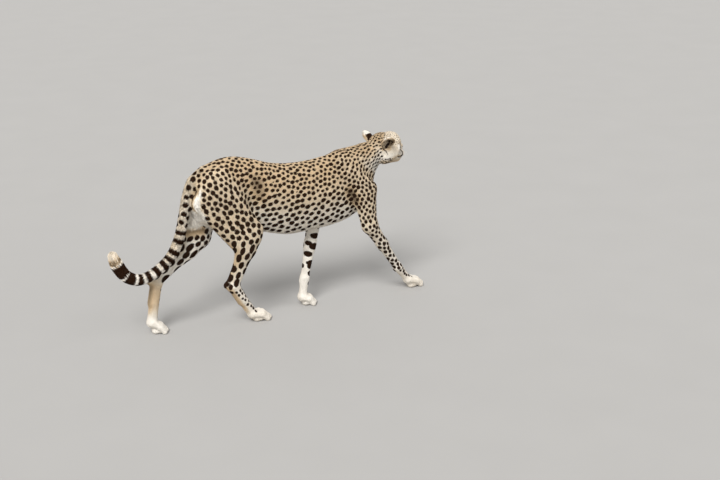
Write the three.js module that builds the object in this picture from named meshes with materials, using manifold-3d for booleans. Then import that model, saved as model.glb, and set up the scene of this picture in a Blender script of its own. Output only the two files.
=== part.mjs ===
// A life-size cheetah in mid-walk, divided where its parts are named.
// Millimetres. +X is the way it walks, +Y its left side, +Z up, and the floor is z = 0.
//
// The body is one smooth field, negative inside: a barrel for the trunk, and flesh laid along
// the bones for the rest, melted together. Each named part is drawn out of that field at a
// fineness of its own, and parted from its neighbours by thin cuts.
import * as THREE from "three";
import { mergeVertices } from "three/addons/utils/BufferGeometryUtils.js";
import Module from "manifold-3d";

const wasm = await Module();
wasm.setup();

// ---------------------------------------------------------------------------------------------
// Driving dimensions
// ---------------------------------------------------------------------------------------------

const GAP = 0.3; // the thin cut between two parts
const SOLE_DEPTH = 3; // how far the round pads would sink below the floor before they are cut flat

// Height of the back, height of the belly and half width of the trunk, by distance along it.
const TRUNK_STATIONS = [
  { x: -64, back: 722, belly: 590, half: 36 }, // root of the tail
  { x: -40, back: 772, belly: 548, half: 62 },
  { x: 0, back: 806, belly: 512, half: 82 }, // rump
  { x: 75, back: 833, belly: 486, half: 87 }, // hips
  { x: 150, back: 836, belly: 466, half: 82 },
  { x: 250, back: 812, belly: 452, half: 80 }, // loin and flank
  { x: 340, back: 782, belly: 424, half: 87 },
  { x: 430, back: 767, belly: 404, half: 92 }, // belly, after a meal
  { x: 540, back: 766, belly: 406, half: 91 },
  { x: 650, back: 778, belly: 412, half: 85 }, // ribs
  { x: 740, back: 788, belly: 430, half: 80 }, // withers
  { x: 810, back: 778, belly: 462, half: 68 },
  { x: 870, back: 730, belly: 510, half: 50 }, // breast
  { x: 892, back: 672, belly: 570, half: 26 },
];
const RIB_KEEL = 0.22; // how much narrower the trunk is at its keel than at its middle

// Joints of the four legs, and the tail: x along the walk, y out from the midline, z up.
const LEGS = {
  hind_right: {
    side: -1,
    hip: [52, 50, 706],
    knee: [200, 76, 462],
    hock: [107, 62, 206],
    ball: [206, 46, 42],
    toe: [290, 43, 15],
  },
  hind_left: {
    side: 1,
    hip: [45, 50, 706],
    knee: [-8, 74, 440],
    hock: [-240, 56, 252],
    ball: [-277, 45, 58],
    toe: [-214, 42, 15],
  },
  fore_right: {
    side: -1,
    blade: [724, 36, 716],
    shoulder: [840, 62, 588],
    elbow: [848, 74, 400],
    wrist: [1027, 44, 136],
    ball: [1099, 24, 48],
    toe: [1180, 12, 15],
  },
  fore_left: {
    side: 1,
    blade: [700, 36, 716],
    shoulder: [790, 62, 580],
    elbow: [603, 70, 420],
    wrist: [530, 34, 140],
    ball: [512, 24, 44],
    toe: [570, 18, 15],
  },
};

const TAIL_PATH = [
  [0, 0, 790],
  [-48, 0, 742],
  [-83, 0, 664],
  [-106, 1, 575],
  [-130, 2, 482],
  [-172, 3, 398],
  [-230, 5, 343],
  [-300, 7, 306],
  [-348, 8, 303],
  [-400, 11, 333],
  [-438, 12, 396],
  [-453, 12, 438],
];
const TAIL_RADII = [22, 38, 34, 31, 31, 31, 31, 32, 33, 35, 36, 28]; // at those points, to the tips of the hair
const TAIL_LENGTHS = 4; // the tail is parted into this many lengths

const HEAD = { at: [963, 18, 766], turn: 15, nod: 7, scale: 1.08 }; // turned to its left, degrees
const NECK_FROM = [752, 0, 694];
const NECK_MID = [850, 4, 734];

// In the head's own frame: X to the nose, Y to its left, Z up, before HEAD.scale.
const EYE = { at: [66, 33, 5], radius: 15 };
// The bare nose lies ahead of, above and within these.
const NOSE_BLOCK = { from: 121, over: -16, half: 18 };
const EAR = {
  at: [-31, 69, 38],
  height: 38,
  half: 32,
  depth: 22,
  wall: 6,
  splay: 45, // degrees out from upright
  back: 18, // degrees that the opening is turned back from square to the side
};

const PAD_RADIUS = 17; // of the large pad of each foot
const CLAW = { length: 15, radius: 3.2 };

// ---------------------------------------------------------------------------------------------
// Small vector helpers and the field's building blocks
// ---------------------------------------------------------------------------------------------

const vec = ([x, y, z]) => new THREE.Vector3(x, y, z);
const mix = (a, b, t) => a.map((value, i) => value + (b[i] - value) * t);
const shift = (a, dx, dy, dz) => [a[0] + dx, a[1] + dy, a[2] + dz];
const outward = (joint, side) => [joint[0], joint[1] * side, joint[2]];

// The lesser of two fields, with the corner between them filled to a radius of about `k`.
function melt(a, b, k) {
  const h = Math.max(k - Math.abs(a - b), 0) / k;
  return Math.min(a, b) - (h * h * k) / 4;
}

// Flesh from joint `a` to joint `b`, with radii `ra` and `rb`, `wide` times as thick sideways.
function flesh(a, b, ra, rb, wide = 1) {
  const [ax, ay, az] = a;
  const [dx, dy, dz] = [b[0] - ax, b[1] - ay, b[2] - az];
  const length2 = dx * dx + dy * dy + dz * dz || 1;
  return (x, y, z) => {
    const px = x - ax;
    const py = y - ay;
    const pz = z - az;
    const t = Math.min(Math.max((px * dx + py * dy + pz * dz) / length2, 0), 1);
    const sideways = (py - t * dy) / wide;
    return Math.hypot(px - t * dx, sideways, pz - t * dz) - (ra + (rb - ra) * t);
  };
}

// An egg with its three half sizes along X, Y and Z.
function egg(at, [sx, sy, sz]) {
  return (x, y, z) => {
    const [px, py, pz] = [x - at[0], y - at[1], z - at[2]];
    const q = Math.hypot(px / sx, py / sy, pz / sz);
    return q < 1e-6 ? -Math.min(sx, sy, sz) : Math.hypot(px, py, pz) * (1 - 1 / q);
  };
}

// A field pushed outward by `by`.
function grown(field, by) {
  return (x, y, z) => field(x, y, z) - by;
}

// Several fields melted into one.
function body(fields, k) {
  return (x, y, z) => fields.reduce((sum, f) => melt(sum, f(x, y, z), k), 1e3);
}

// A smooth value at x through the stations' values of `key`.
function along(stations, key, x) {
  const last = stations.length - 1;
  let i = 0;
  while (i < last - 1 && x > stations[i + 1].x) i += 1;
  const [s0, s1, s2, s3] = [i - 1, i, i + 1, i + 2].map(
    (n) => stations[Math.min(Math.max(n, 0), last)],
  );
  const t = Math.min(Math.max((x - s1.x) / (s2.x - s1.x), 0), 1);
  const span = s2.x - s1.x;
  const m1 = ((s2[key] - s0[key]) / (s2.x - s0.x)) * span;
  const m2 = ((s3[key] - s1[key]) / (s3.x - s1.x)) * span;
  const t2 = t * t;
  const t3 = t2 * t;
  return (
    (2 * t3 - 3 * t2 + 1) * s1[key] +
    (t3 - 2 * t2 + t) * m1 +
    (3 * t2 - 2 * t3) * s2[key] +
    (t3 - t2) * m2
  );
}

// The barrel of the trunk.
function barrel(x, y, z) {
  const first = TRUNK_STATIONS[0].x;
  const last = TRUNK_STATIONS.at(-1).x;
  const cx = Math.min(Math.max(x, first), last);
  const back = along(TRUNK_STATIONS, "back", cx);
  const belly = along(TRUNK_STATIONS, "belly", cx);
  const half = along(TRUNK_STATIONS, "half", cx);
  const tall = (back - belly) / 2;
  const pz = z - (back + belly) / 2;
  const keel = 1 - RIB_KEEL * Math.min(Math.max(-pz / tall, 0), 1);
  const q = Math.hypot(y / (half * keel), pz / tall);
  const radial = q < 1e-6 ? -half : Math.hypot(y, pz) * (1 - 1 / q);
  const beyond = Math.abs(x - cx);
  return beyond > 0 ? Math.hypot(Math.max(radial, 0), beyond) + Math.min(radial, 0) * 0.2 : radial;
}

// ---------------------------------------------------------------------------------------------
// Legs
// ---------------------------------------------------------------------------------------------

// Where the four toes and the pad of a foot lie: `ball` to `toe` is its line on the floor.
function foot({ ball, toe, side }, toeRadius, spread) {
  const [b, t] = [outward(ball, side), outward(toe, side)];
  const heading = Math.atan2(t[1] - b[1], t[0] - b[0]);
  const across = [-Math.sin(heading), Math.cos(heading)];
  const toes = [-1.5, -0.5, 0.5, 1.5].map((n) => {
    const aside = (point, by) => shift(point, across[0] * by, across[1] * by, 0);
    const root = aside(b, n * spread * 0.62);
    const tip = aside(mix(b, t, Math.abs(n) < 1 ? 1 : 0.82), n * spread);
    tip[2] = toeRadius - SOLE_DEPTH;
    const knuckle = mix(root, tip, 0.64);
    knuckle[2] = Math.max(knuckle[2], toeRadius * 2.5);
    return { root, knuckle, tip };
  });
  const pad = mix(b, t, 0.22);
  pad[2] = PAD_RADIUS - SOLE_DEPTH;
  const middle = mix(b, t, 0.5);
  middle[2] = toeRadius * 1.5;
  const web = mix(b, t, 0.75);
  web[2] = toeRadius - SOLE_DEPTH + 2;
  return { toes, pad, middle, web };
}

function toeFlesh({ root, knuckle, tip }, radius) {
  const bones = [flesh(root, knuckle, radius * 1.1, radius * 1.08), flesh(knuckle, tip, radius * 1.08, radius)];
  return body(bones, 7);
}

function palmFlesh({ pad, middle, web }, ball, radius) {
  const back = flesh(ball, middle, radius * 1.75, radius * 1.15, 1.25);
  const underside = flesh(pad, web, 12.5, 12, 1.9);
  return body([back, flesh(pad, shift(pad, 18, 0, 0), PAD_RADIUS, PAD_RADIUS, 1.4), underside], 10);
}

function hindLeg(leg) {
  const { side } = leg;
  const [hip, knee, hock, ball] = ["hip", "knee", "hock", "ball"].map((j) => outward(leg[j], side));
  const seat = [-26, 52 * side, 650];
  const heel = shift(hock, -34, 0, 14);
  const calf = mix(knee, hock, 0.36);
  const plan = foot(leg, 14.5, 19);
  const upper = body(
    [
      flesh(hip, mix(knee, hip, 0.12), 92, 56, 0.56),
      flesh(shift(hip, 45, 0, -30), shift(knee, 4, 0, 20), 72, 48, 0.6),
      flesh(seat, mix(knee, calf, 0.75), 56, 52, 0.72),
      flesh(knee, shift(knee, 6, 0, -14), 50, 46, 0.72),
    ],
    34,
  );
  const lower = body(
    [
      flesh(knee, hock, 48, 25, 0.74),
      flesh(shift(knee, -24, 0, -20), shift(calf, -16, 0, -20), 40, 34, 0.8),
      flesh(shift(calf, -20, 0, -20), heel, 24, 12, 0.7),
      flesh(heel, hock, 15, 24, 0.85),
    ],
    20,
  );
  const back = shift(mix(hock, ball, 0.5), -7, 0, 0);
  const shin = body([flesh(hock, back, 29, 26, 0.82), flesh(hock, ball, 25, 26, 0.85)], 12);
  const toes = plan.toes.map((toe) => toeFlesh(toe, 14.5));
  const palm = palmFlesh(plan, ball, 14);
  return { upper, lower, shin, palm, toes, plan };
}

function foreLeg(leg) {
  const { side } = leg;
  const [blade, shoulder, elbow, wrist, ball] = ["blade", "shoulder", "elbow", "wrist", "ball"].map((j) =>
    outward(leg[j], side),
  );
  const point = shift(elbow, -20, 0, 12);
  const plan = foot(leg, 14.5, 19);
  const upper = body(
    [
      flesh(blade, shoulder, 50, 44, 0.5),
      flesh(shoulder, elbow, 47, 38, 0.62),
      flesh(mix(blade, shoulder, 0.35), point, 56, 24, 0.52),
    ],
    30,
  );
  const lower = body(
    [
      flesh(elbow, mix(elbow, wrist, 0.45), 39, 30, 0.8),
      flesh(mix(elbow, wrist, 0.4), wrist, 30, 22, 0.9),
      flesh(point, elbow, 17, 30, 0.8),
    ],
    18,
  );
  const spur = shift(mix(wrist, ball, 0.12), -20, 0, -2);
  const shin = body(
    [flesh(wrist, mix(wrist, ball, 0.3), 23, 21), flesh(wrist, ball, 21, 22), flesh(wrist, spur, 14, 9)],
    12,
  );
  const toes = plan.toes.map((toe) => toeFlesh(toe, 14.5));
  const palm = palmFlesh(plan, ball, 14);
  return { upper, lower, shin, palm, toes, plan };
}

const limbs = Object.fromEntries(
  Object.entries(LEGS).map(([name, leg]) => [name, name.startsWith("hind") ? hindLeg(leg) : foreLeg(leg)]),
);

// ---------------------------------------------------------------------------------------------
// Head, ears and tail
// ---------------------------------------------------------------------------------------------

const headFrame = new THREE.Matrix4()
  .makeRotationFromEuler(
    new THREE.Euler(0, THREE.MathUtils.degToRad(HEAD.nod), THREE.MathUtils.degToRad(HEAD.turn), "ZYX"),
  )
  .scale(new THREE.Vector3(HEAD.scale, HEAD.scale, HEAD.scale))
  .setPosition(vec(HEAD.at));
const headInverse = headFrame.clone().invert();

function inHead(field) {
  const m = headInverse.elements;
  return (x, y, z) =>
    HEAD.scale *
    field(
      m[0] * x + m[4] * y + m[8] * z + m[12],
      m[1] * x + m[5] * y + m[9] * z + m[13],
      m[2] * x + m[6] * y + m[10] * z + m[14],
    );
}

const pair = (make) => [make(1), make(-1)];
const skull = body(
  [
    egg([-4, 0, 16], [66, 57, 59.5]),
    egg([50, 0, 33], [49, 48, 45]),
    ...pair((s) => egg([30, 38 * s, -14], [44, 27, 36])),
    ...pair((s) => egg([-2, 34 * s, -36], [40, 26, 30])),
    flesh([58, 0, 32], [122, 0, 2], 21, 15, 0.95),
    ...pair((s) => flesh([74, 14 * s, -22], [112, 14 * s, -27], 22, 19)),
    ...pair((s) => flesh([62, 30 * s, 36], [84, 26 * s, 27], 14, 10)),
    flesh([20, 0, -50], [101, 0, -50], 27, 22, 1.1),
  ],
  16,
);
const neckMelt = [
  flesh(NECK_FROM, NECK_MID, 98, 68, 0.72),
  flesh(NECK_MID, shift(HEAD.at, -22, -4, -2), 67, 57, 0.86),
  flesh([800, 0, 640], shift(HEAD.at, -40, -4, -30), 66, 40, 0.8),
];
const head = inHead(skull);
const neck = body(neckMelt, 40);

const tailCurve = new THREE.CatmullRomCurve3(TAIL_PATH.map(vec), false, "centripetal");
const TAIL_STEPS = 32;
const tailPoints = tailCurve.getPoints(TAIL_STEPS);
function tailRadius(t) {
  const s = t * (TAIL_RADII.length - 1);
  const i = Math.min(Math.floor(s), TAIL_RADII.length - 2);
  return TAIL_RADII[i] + (TAIL_RADII[i + 1] - TAIL_RADII[i]) * (s - i);
}
const tail = body(
  tailPoints
    .slice(1)
    .map((p, i) =>
      flesh(
        tailPoints[i].toArray(),
        p.toArray(),
        tailRadius(i / TAIL_STEPS),
        tailRadius((i + 1) / TAIL_STEPS),
        0.94,
      ),
    ),
  6,
);

// ---------------------------------------------------------------------------------------------
// Solids: the field drawn out in rings round a path, and cuts
// ---------------------------------------------------------------------------------------------

function solidOf(geometry) {
  const bare = geometry.index ? geometry.toNonIndexed() : geometry.clone();
  const positions = new THREE.BufferGeometry().setAttribute("position", bare.getAttribute("position"));
  const merged = mergeVertices(positions, 1e-4);
  return solidFrom(merged.attributes.position.array, merged.index.array);
}

function solidFrom(positions, triangles) {
  return new wasm.Manifold(
    new wasm.Mesh({
      numProp: 3,
      vertProperties: new Float32Array(positions),
      triVerts: new Uint32Array(triangles),
    }),
  );
}

const even = (count) => Array.from({ length: count + 1 }, (_, n) => n / count);

// The closed tube of `field` round a path: rays out from each ring's centre find the surface.
// `stops` are the rings' places along the path, from 0 to 1, and `up` is where each ring starts.
function tube(field, path, stops, sides, reach, up = [0, 1, 0]) {
  const curve = new THREE.CatmullRomCurve3(path.map(vec), false, "centripetal");
  const rings = stops.length - 1;
  const positions = [];
  const loops = [];
  for (const stop of stops) {
    const centre = curve.getPointAt(stop);
    const way = curve.getTangentAt(stop);
    const side = vec(up).addScaledVector(way, -vec(up).dot(way)).normalize();
    const third = new THREE.Vector3().crossVectors(way, side);
    const loop = [];
    for (let s = 0; s < sides; s += 1) {
      const angle = (2 * Math.PI * s) / sides;
      const ray = side.clone().multiplyScalar(Math.cos(angle)).addScaledVector(third, Math.sin(angle));
      let [near, far] = [0, reach];
      for (let d = 4; d < reach; d += 4)
        if (field(centre.x + ray.x * d, centre.y + ray.y * d, centre.z + ray.z * d) > 0) {
          [near, far] = [d - 4, d];
          break;
        }
      for (let n = 0; n < 12; n += 1) {
        const d = (near + far) / 2;
        if (field(centre.x + ray.x * d, centre.y + ray.y * d, centre.z + ray.z * d) > 0) far = d;
        else near = d;
      }
      loop.push(centre.clone().addScaledVector(ray, Math.max(near, 0.6)));
    }
    loops.push({ loop, centre });
  }
  const face = (...corners) => corners.forEach((p) => positions.push(p.x, p.y, p.z));
  for (let r = 0; r < rings; r += 1)
    for (let s = 0; s < sides; s += 1) {
      const next = (s + 1) % sides;
      const [a, b] = [loops[r].loop[s], loops[r].loop[next]];
      const [c, d] = [loops[r + 1].loop[next], loops[r + 1].loop[s]];
      if (a.distanceTo(c) < b.distanceTo(d)) face(a, b, c, a, c, d);
      else face(a, b, d, b, c, d);
    }
  for (let s = 0; s < sides; s += 1) {
    const next = (s + 1) % sides;
    face(loops[0].loop[next], loops[0].loop[s], loops[0].centre);
    face(loops[rings].loop[s], loops[rings].loop[next], loops[rings].centre);
  }
  const geometry = new THREE.BufferGeometry();
  geometry.setAttribute("position", new THREE.Float32BufferAttribute(positions, 3));
  return solidOf(geometry);
}

// A plane through `point` whose normal runs along `way`.
function plane(point, way) {
  const normal = vec(way).normalize();
  return { normal, offset: normal.dot(vec(point)) };
}
const ahead = (solid, { normal, offset }) => solid.trimByPlane(normal.toArray(), offset + GAP / 2);
const behind = (solid, { normal, offset }) =>
  solid.trimByPlane(normal.clone().negate().toArray(), -offset + GAP / 2);

const direction = (a, b) => vec(b).sub(vec(a)).normalize();
const extended = (curve, distance) =>
  curve.getPoint(1).addScaledVector(curve.getTangent(1), distance).toArray();
function mitre(a, joint, b, beyond) {
  const way = direction(a, joint).add(direction(joint, b));
  const point = vec(joint).addScaledVector(direction(joint, b), beyond);
  return plane(point.toArray(), way.toArray());
}

// ---------------------------------------------------------------------------------------------
// Finishes
// ---------------------------------------------------------------------------------------------

const finish = (color, roughness) => new THREE.MeshStandardMaterial({ color, roughness, metalness: 0 });
const tawnyCoat = finish("#c9a06b", 0.9);
const creamCoat = finish("#e3d5bb", 0.9);
const ringedCoat = finish("#b79d78", 0.9);
const bareNose = finish("#1d1917", 0.55);
const amberEye = finish("#7a4a16", 0.1);
const clawHorn = finish("#2b2521", 0.35);

const cheetah = new THREE.Group();

function add(name, solid, material) {
  const { vertProperties, numProp, triVerts } = solid.getMesh();
  const positions = new Float32Array((vertProperties.length / numProp) * 3);
  for (let i = 0; i < positions.length / 3; i += 1)
    positions.set(vertProperties.subarray(i * numProp, i * numProp + 3), i * 3);
  const geometry = new THREE.BufferGeometry();
  geometry.setAttribute("position", new THREE.BufferAttribute(positions, 3));
  geometry.setIndex(new THREE.BufferAttribute(new Uint32Array(triVerts), 1));
  const mesh = new THREE.Mesh(geometry, material);
  mesh.name = name;
  cheetah.add(mesh);
}

// The largest body of a solid, without the crumbs that a cut can leave.
function whole(solid) {
  return solid.decompose().reduce((a, b) => (a.volume() > b.volume() ? a : b));
}

// ---------------------------------------------------------------------------------------------
// Trunk and neck
// ---------------------------------------------------------------------------------------------

const TAIL_LAP = 0.035; // how far each rough length runs past its cuts, as a share of the tail

function tailTube(from, to, rings, grow) {
  const points = [];
  for (let t = Math.max(from - TAIL_LAP, 0); t < Math.min(to + TAIL_LAP, 1) + 1e-6; t += 0.02)
    points.push(tailCurve.getPoint(Math.min(t, 1)).toArray());
  if (to === 1) points.push(extended(tailCurve, TAIL_RADII.at(-1)));
  return tube(grown(tail, grow), points, even(rings), 10, 90);
}

function tailLength(n) {
  const [from, to] = [n / TAIL_LENGTHS, (n + 1) / TAIL_LENGTHS];
  const length = tailTube(from, to, 6, 0);
  const cutAt = (t) => plane(tailCurve.getPoint(t).toArray(), tailCurve.getTangent(t).toArray());
  const started = n > 0 ? ahead(length, cutAt(from)) : length;
  return n < TAIL_LENGTHS - 1 ? behind(started, cutAt(to)) : started;
}

const torso = (x, y, z) => melt(barrel(x, y, z), neck(x, y, z), 50);
const torsoAndHead = (x, y, z) => melt(torso(x, y, z), head(x, y, z), 24);
const past = (from, to, distance) => vec(to).addScaledVector(direction(from, to), distance).toArray();

function legParts(name) {
  const leg = LEGS[name];
  const hind = name.startsWith("hind");
  const joints = [...(hind ? ["hip", "knee", "hock"] : ["shoulder", "elbow", "wrist"]), "ball"];
  const [a, b, c, d] = joints.map((joint) => outward(leg[joint], leg.side));
  const { upper, lower, shin, palm } = limbs[name];
  const field = (x, y, z) =>
    melt(melt(upper(x, y, z), lower(x, y, z), 24), melt(shin(x, y, z), palm(x, y, z), 12), 14);
  const start = hind ? past(b, a, 64) : outward(leg.blade, leg.side);
  const root = tube(field, hind ? [start, past(a, b, 50)] : [start, a, past(a, b, 46)], even(9), 12, 190);
  return { name, hind, side: leg.side, a, b, c, d, field, root };
}
const legs = Object.keys(LEGS).map(legParts);

const neckCut = plane([792, 0, 720], [0.87, 0, 0.5]);
const headCut = plane(shift(HEAD.at, -46, -6, 0), [0.95, 0.1, 0.12]);
const spine = TRUNK_STATIONS.map(({ x, back, belly }) => [x, 0, (back + belly) / 2]);
const throatPath = [[736, 0, 690], NECK_MID, shift(HEAD.at, -20, -4, 0)];
const barrelOf = (grow) => {
  const ends = [past(spine[1], spine[0], grow), past(spine.at(-2), spine.at(-1), grow)];
  return tube(grown(torso, grow), [ends[0], ...spine.slice(1, -1), ends[1]], even(22), 20, 200);
};
const throatOf = (grow) => tube(grown(torsoAndHead, grow), throatPath, even(8), 18, 260);
const thickTrunk = barrelOf(GAP);
const thickNeck = throatOf(GAP);
const thickTailRoot = tailTube(0, 2 / TAIL_LENGTHS, 14, GAP);
add("trunk", whole(behind(barrelOf(0), neckCut)), tawnyCoat);
add("neck", whole(behind(ahead(throatOf(0), neckCut), headCut)), tawnyCoat);

// ---------------------------------------------------------------------------------------------
// Tail
// ---------------------------------------------------------------------------------------------

for (let n = 0; n < TAIL_LENGTHS; n += 1) {
  const length = n < 2 ? tailLength(n).subtract(thickTrunk) : tailLength(n);
  add(`tail_${n + 1}`, whole(length), n < 2 ? tawnyCoat : ringedCoat);
}

// ---------------------------------------------------------------------------------------------
// Legs, each in four parts, and their claws
// ---------------------------------------------------------------------------------------------

const TOE_STOPS = [0, 0.45, 0.75, 0.9, 1];
const TOE_UP = [0, Math.cos(Math.PI / 6), Math.sin(Math.PI / 6)]; // puts a corner of each ring at the sole
const CLAW_SIDES = 5;
const CLAW_STEPS = 2;

// A claw's horn: a cone that droops towards its point, its root at the origin, along +X.
function clawHornShape(length, radius) {
  const cone = new THREE.ConeGeometry(radius, length, CLAW_SIDES, CLAW_STEPS);
  cone.rotateZ(-Math.PI / 2);
  cone.translate(length / 2, 0, 0);
  const p = cone.getAttribute("position");
  for (let i = 0; i < p.count; i += 1) {
    const t = p.getX(i) / length;
    p.setY(i, p.getY(i) * 0.7);
    p.setZ(i, p.getZ(i) * 1.15 - radius * 2.1 * t * t);
  }
  return cone;
}

for (const leg of legs) {
  const { name, hind, a, b, c, d, field, root } = leg;
  const limb = limbs[name];
  const upperCut = mitre(a, b, c, hind ? 20 : 26);
  const lowerCut = mitre(b, c, d, 0);
  const pawCut = plane(vec(d).addScaledVector(direction(c, d), -24).toArray(), direction(c, d).toArray());

  const outside = root.subtract(thickTrunk).subtract(thickNeck).subtract(thickTailRoot);
  add(`${name}_${hind ? "thigh" : "upper_arm"}`, whole(behind(outside, upperCut)), tawnyCoat);

  const shank = tube(field, [past(c, b, 30), past(b, c, 26)], even(8), 11, 90);
  add(`${name}_${hind ? "shank" : "forearm"}`, whole(behind(ahead(shank, upperCut), lowerCut)), tawnyCoat);

  const shin = tube(field, [past(d, c, 26), past(c, d, 4)], even(6), 10, 70);
  add(`${name}_${hind ? "hock" : "wrist"}`, whole(behind(ahead(shin, lowerCut), pawCut)), creamCoat);

  const floor = { normal: new THREE.Vector3(0, 0, 1), offset: -GAP / 2 };
  const pawOf = (grow) => {
    const palmPath = [past(d, c, 44), d, limb.plan.middle];
    const palm = tube(grown(field, grow), palmPath, even(5), 9, 60);
    return limb.toes.reduce((paw, toe, n) => {
      const { root, knuckle, tip } = limb.plan.toes[n];
      const toePath = [root, knuckle, past(knuckle, tip, 13.5)];
      return paw.add(tube(grown(toe, grow), toePath, TOE_STOPS, 6, 40, TOE_UP));
    }, palm);
  };
  add(`${name}_paw`, whole(ahead(ahead(pawOf(0), pawCut), floor)), creamCoat);

  const thick = pawOf(GAP);
  limb.plan.toes.forEach(({ knuckle, tip }, n) => {
    const way = Math.atan2(tip[1] - knuckle[1], tip[0] - knuckle[0]);
    const horn = clawHornShape(CLAW.length, CLAW.radius);
    horn.rotateY(THREE.MathUtils.degToRad(14));
    horn.rotateZ(way);
    horn.translate(tip[0] + Math.cos(way) * 7, tip[1] + Math.sin(way) * 7, tip[2] + 3.5);
    add(`claw_${name}_${n + 1}`, whole(solidOf(horn).subtract(thick)), clawHorn);
  });
}

// ---------------------------------------------------------------------------------------------
// Head
// ---------------------------------------------------------------------------------------------

const headPoint = (p) => vec(p).applyMatrix4(headFrame).toArray();
const fleshOfHead = (x, y, z) => melt(head(x, y, z), neck(x, y, z), 24);

const eyeBall = (s, grow) => {
  const ball = new THREE.SphereGeometry(EYE.radius + grow / HEAD.scale, 10, 7);
  ball.rotateZ((s * Math.PI) / 4);
  ball.translate(EYE.at[0], EYE.at[1] * s, EYE.at[2]);
  return ball.applyMatrix4(headFrame);
};
const noseBlock = (grow) => {
  const box = new THREE.BoxGeometry(60, 2 * (NOSE_BLOCK.half + grow), 60);
  box.translate(NOSE_BLOCK.from + 30 - grow, 0, NOSE_BLOCK.over + 30 - grow);
  return box.applyMatrix4(headFrame);
};

// An ear: a thick-walled cup, half an egg across, its mouth opening sideways.
function earCup(s) {
  const profile = [];
  const STEPS = 4;
  for (let i = 0; i <= STEPS; i += 1) {
    const angle = (Math.PI / 2) * (i / STEPS);
    profile.push(new THREE.Vector2(Math.sin(angle), -Math.cos(angle)));
  }
  const thin = 1 - EAR.wall / EAR.half;
  for (let i = STEPS; i >= 0; i -= 1) {
    const angle = (Math.PI / 2) * (i / STEPS);
    profile.push(new THREE.Vector2(Math.sin(angle) * thin, -Math.cos(angle) * thin));
  }
  const cup = new THREE.LatheGeometry(profile, 11);
  cup.scale(EAR.half, EAR.depth, EAR.height);
  if (s < 0) cup.rotateZ(Math.PI);
  cup.rotateX(THREE.MathUtils.degToRad(-EAR.splay * s));
  cup.rotateZ(THREE.MathUtils.degToRad(EAR.back * s));
  cup.translate(EAR.at[0], EAR.at[1] * s, EAR.at[2]);
  return cup.applyMatrix4(headFrame);
}

const skullAxis = [headPoint([-78, 0, 4]), headPoint([137, 0, -12])];
const skullRough = tube(fleshOfHead, skullAxis, even(18), 20, 120);
const thickSkull = tube((x, y, z) => fleshOfHead(x, y, z) - GAP, skullAxis, even(18), 20, 120);
let skullSolid = ahead(skullRough, headCut);
for (const [name, s] of [["left", 1], ["right", -1]]) {
  skullSolid = skullSolid.subtract(solidOf(eyeBall(s, GAP)));
  add(`eye_${name}`, solidOf(eyeBall(s, 0)), amberEye);
  add(`ear_${name}`, whole(solidOf(earCup(s)).subtract(thickSkull).subtract(thickNeck)), tawnyCoat);
}
add("head", whole(skullSolid.subtract(solidOf(noseBlock(GAP / 2)))), tawnyCoat);
add("nose", whole(skullSolid.intersect(solidOf(noseBlock(-GAP / 2)))), bareNose);

// The origin is the middle of the model's box, on the floor.
const box = new THREE.Box3().setFromObject(cheetah);
const middle = box.getCenter(new THREE.Vector3());
for (const { geometry } of cheetah.children) geometry.translate(-middle.x, -middle.y, -box.min.z);

export default cheetah;
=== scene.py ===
# A life-size cheetah in mid-walk: one skin over all its flesh, a short spotted coat over the skin,
# eyes, whiskers and claws.
#
# The skin is drawn out of one smooth field, negative inside, as the solids are. It is worked out in
# millimetres in the maker's frame (X the way it walks, Y its left, Z up, the floor at zero) and
# becomes metres in the row frame as each mesh is made.
import math

import bpy
import numpy as np
from mathutils import Matrix, Vector
from mathutils.kdtree import KDTree


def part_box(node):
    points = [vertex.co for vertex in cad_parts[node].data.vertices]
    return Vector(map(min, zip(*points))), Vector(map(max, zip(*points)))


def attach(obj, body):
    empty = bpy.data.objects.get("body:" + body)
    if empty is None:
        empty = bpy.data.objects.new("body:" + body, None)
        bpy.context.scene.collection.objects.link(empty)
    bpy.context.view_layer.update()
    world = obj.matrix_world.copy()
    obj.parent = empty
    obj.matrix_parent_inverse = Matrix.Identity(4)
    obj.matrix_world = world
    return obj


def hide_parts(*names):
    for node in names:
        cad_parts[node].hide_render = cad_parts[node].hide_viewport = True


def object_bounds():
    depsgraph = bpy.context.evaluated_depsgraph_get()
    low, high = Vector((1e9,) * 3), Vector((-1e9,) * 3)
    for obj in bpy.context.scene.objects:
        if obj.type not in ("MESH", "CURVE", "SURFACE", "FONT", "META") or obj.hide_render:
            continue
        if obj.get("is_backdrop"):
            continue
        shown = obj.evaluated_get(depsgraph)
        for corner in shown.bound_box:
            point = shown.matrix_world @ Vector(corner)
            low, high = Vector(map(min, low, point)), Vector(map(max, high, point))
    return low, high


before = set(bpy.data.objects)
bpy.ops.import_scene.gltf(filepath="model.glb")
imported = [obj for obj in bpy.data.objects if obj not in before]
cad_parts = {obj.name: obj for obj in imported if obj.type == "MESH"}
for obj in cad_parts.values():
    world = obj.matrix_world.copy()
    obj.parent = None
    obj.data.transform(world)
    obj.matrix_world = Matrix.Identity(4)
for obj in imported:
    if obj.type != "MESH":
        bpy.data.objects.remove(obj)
cad_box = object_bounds()
bpy.ops.object.select_all(action="DESELECT")

# ======== Driving dimensions, in millimetres ========

# Distance along the trunk, height of the back, height of the belly and half width.
TRUNK = np.array([
    (-64, 722, 590, 36), (-40, 772, 548, 62), (0, 806, 512, 82), (75, 833, 486, 87),
    (150, 836, 466, 82), (250, 812, 452, 80), (340, 782, 424, 87), (430, 767, 404, 92),
    (540, 766, 406, 91), (650, 778, 412, 85), (740, 788, 430, 80), (810, 778, 462, 68),
    (870, 730, 510, 50), (892, 672, 570, 26)], float)
RIB_KEEL = 0.22  # how much narrower the trunk is at its keel than at its middle
NECK_FROM = np.array([752.0, 0, 694])
NECK_MID = np.array([850.0, 4, 734])

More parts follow.
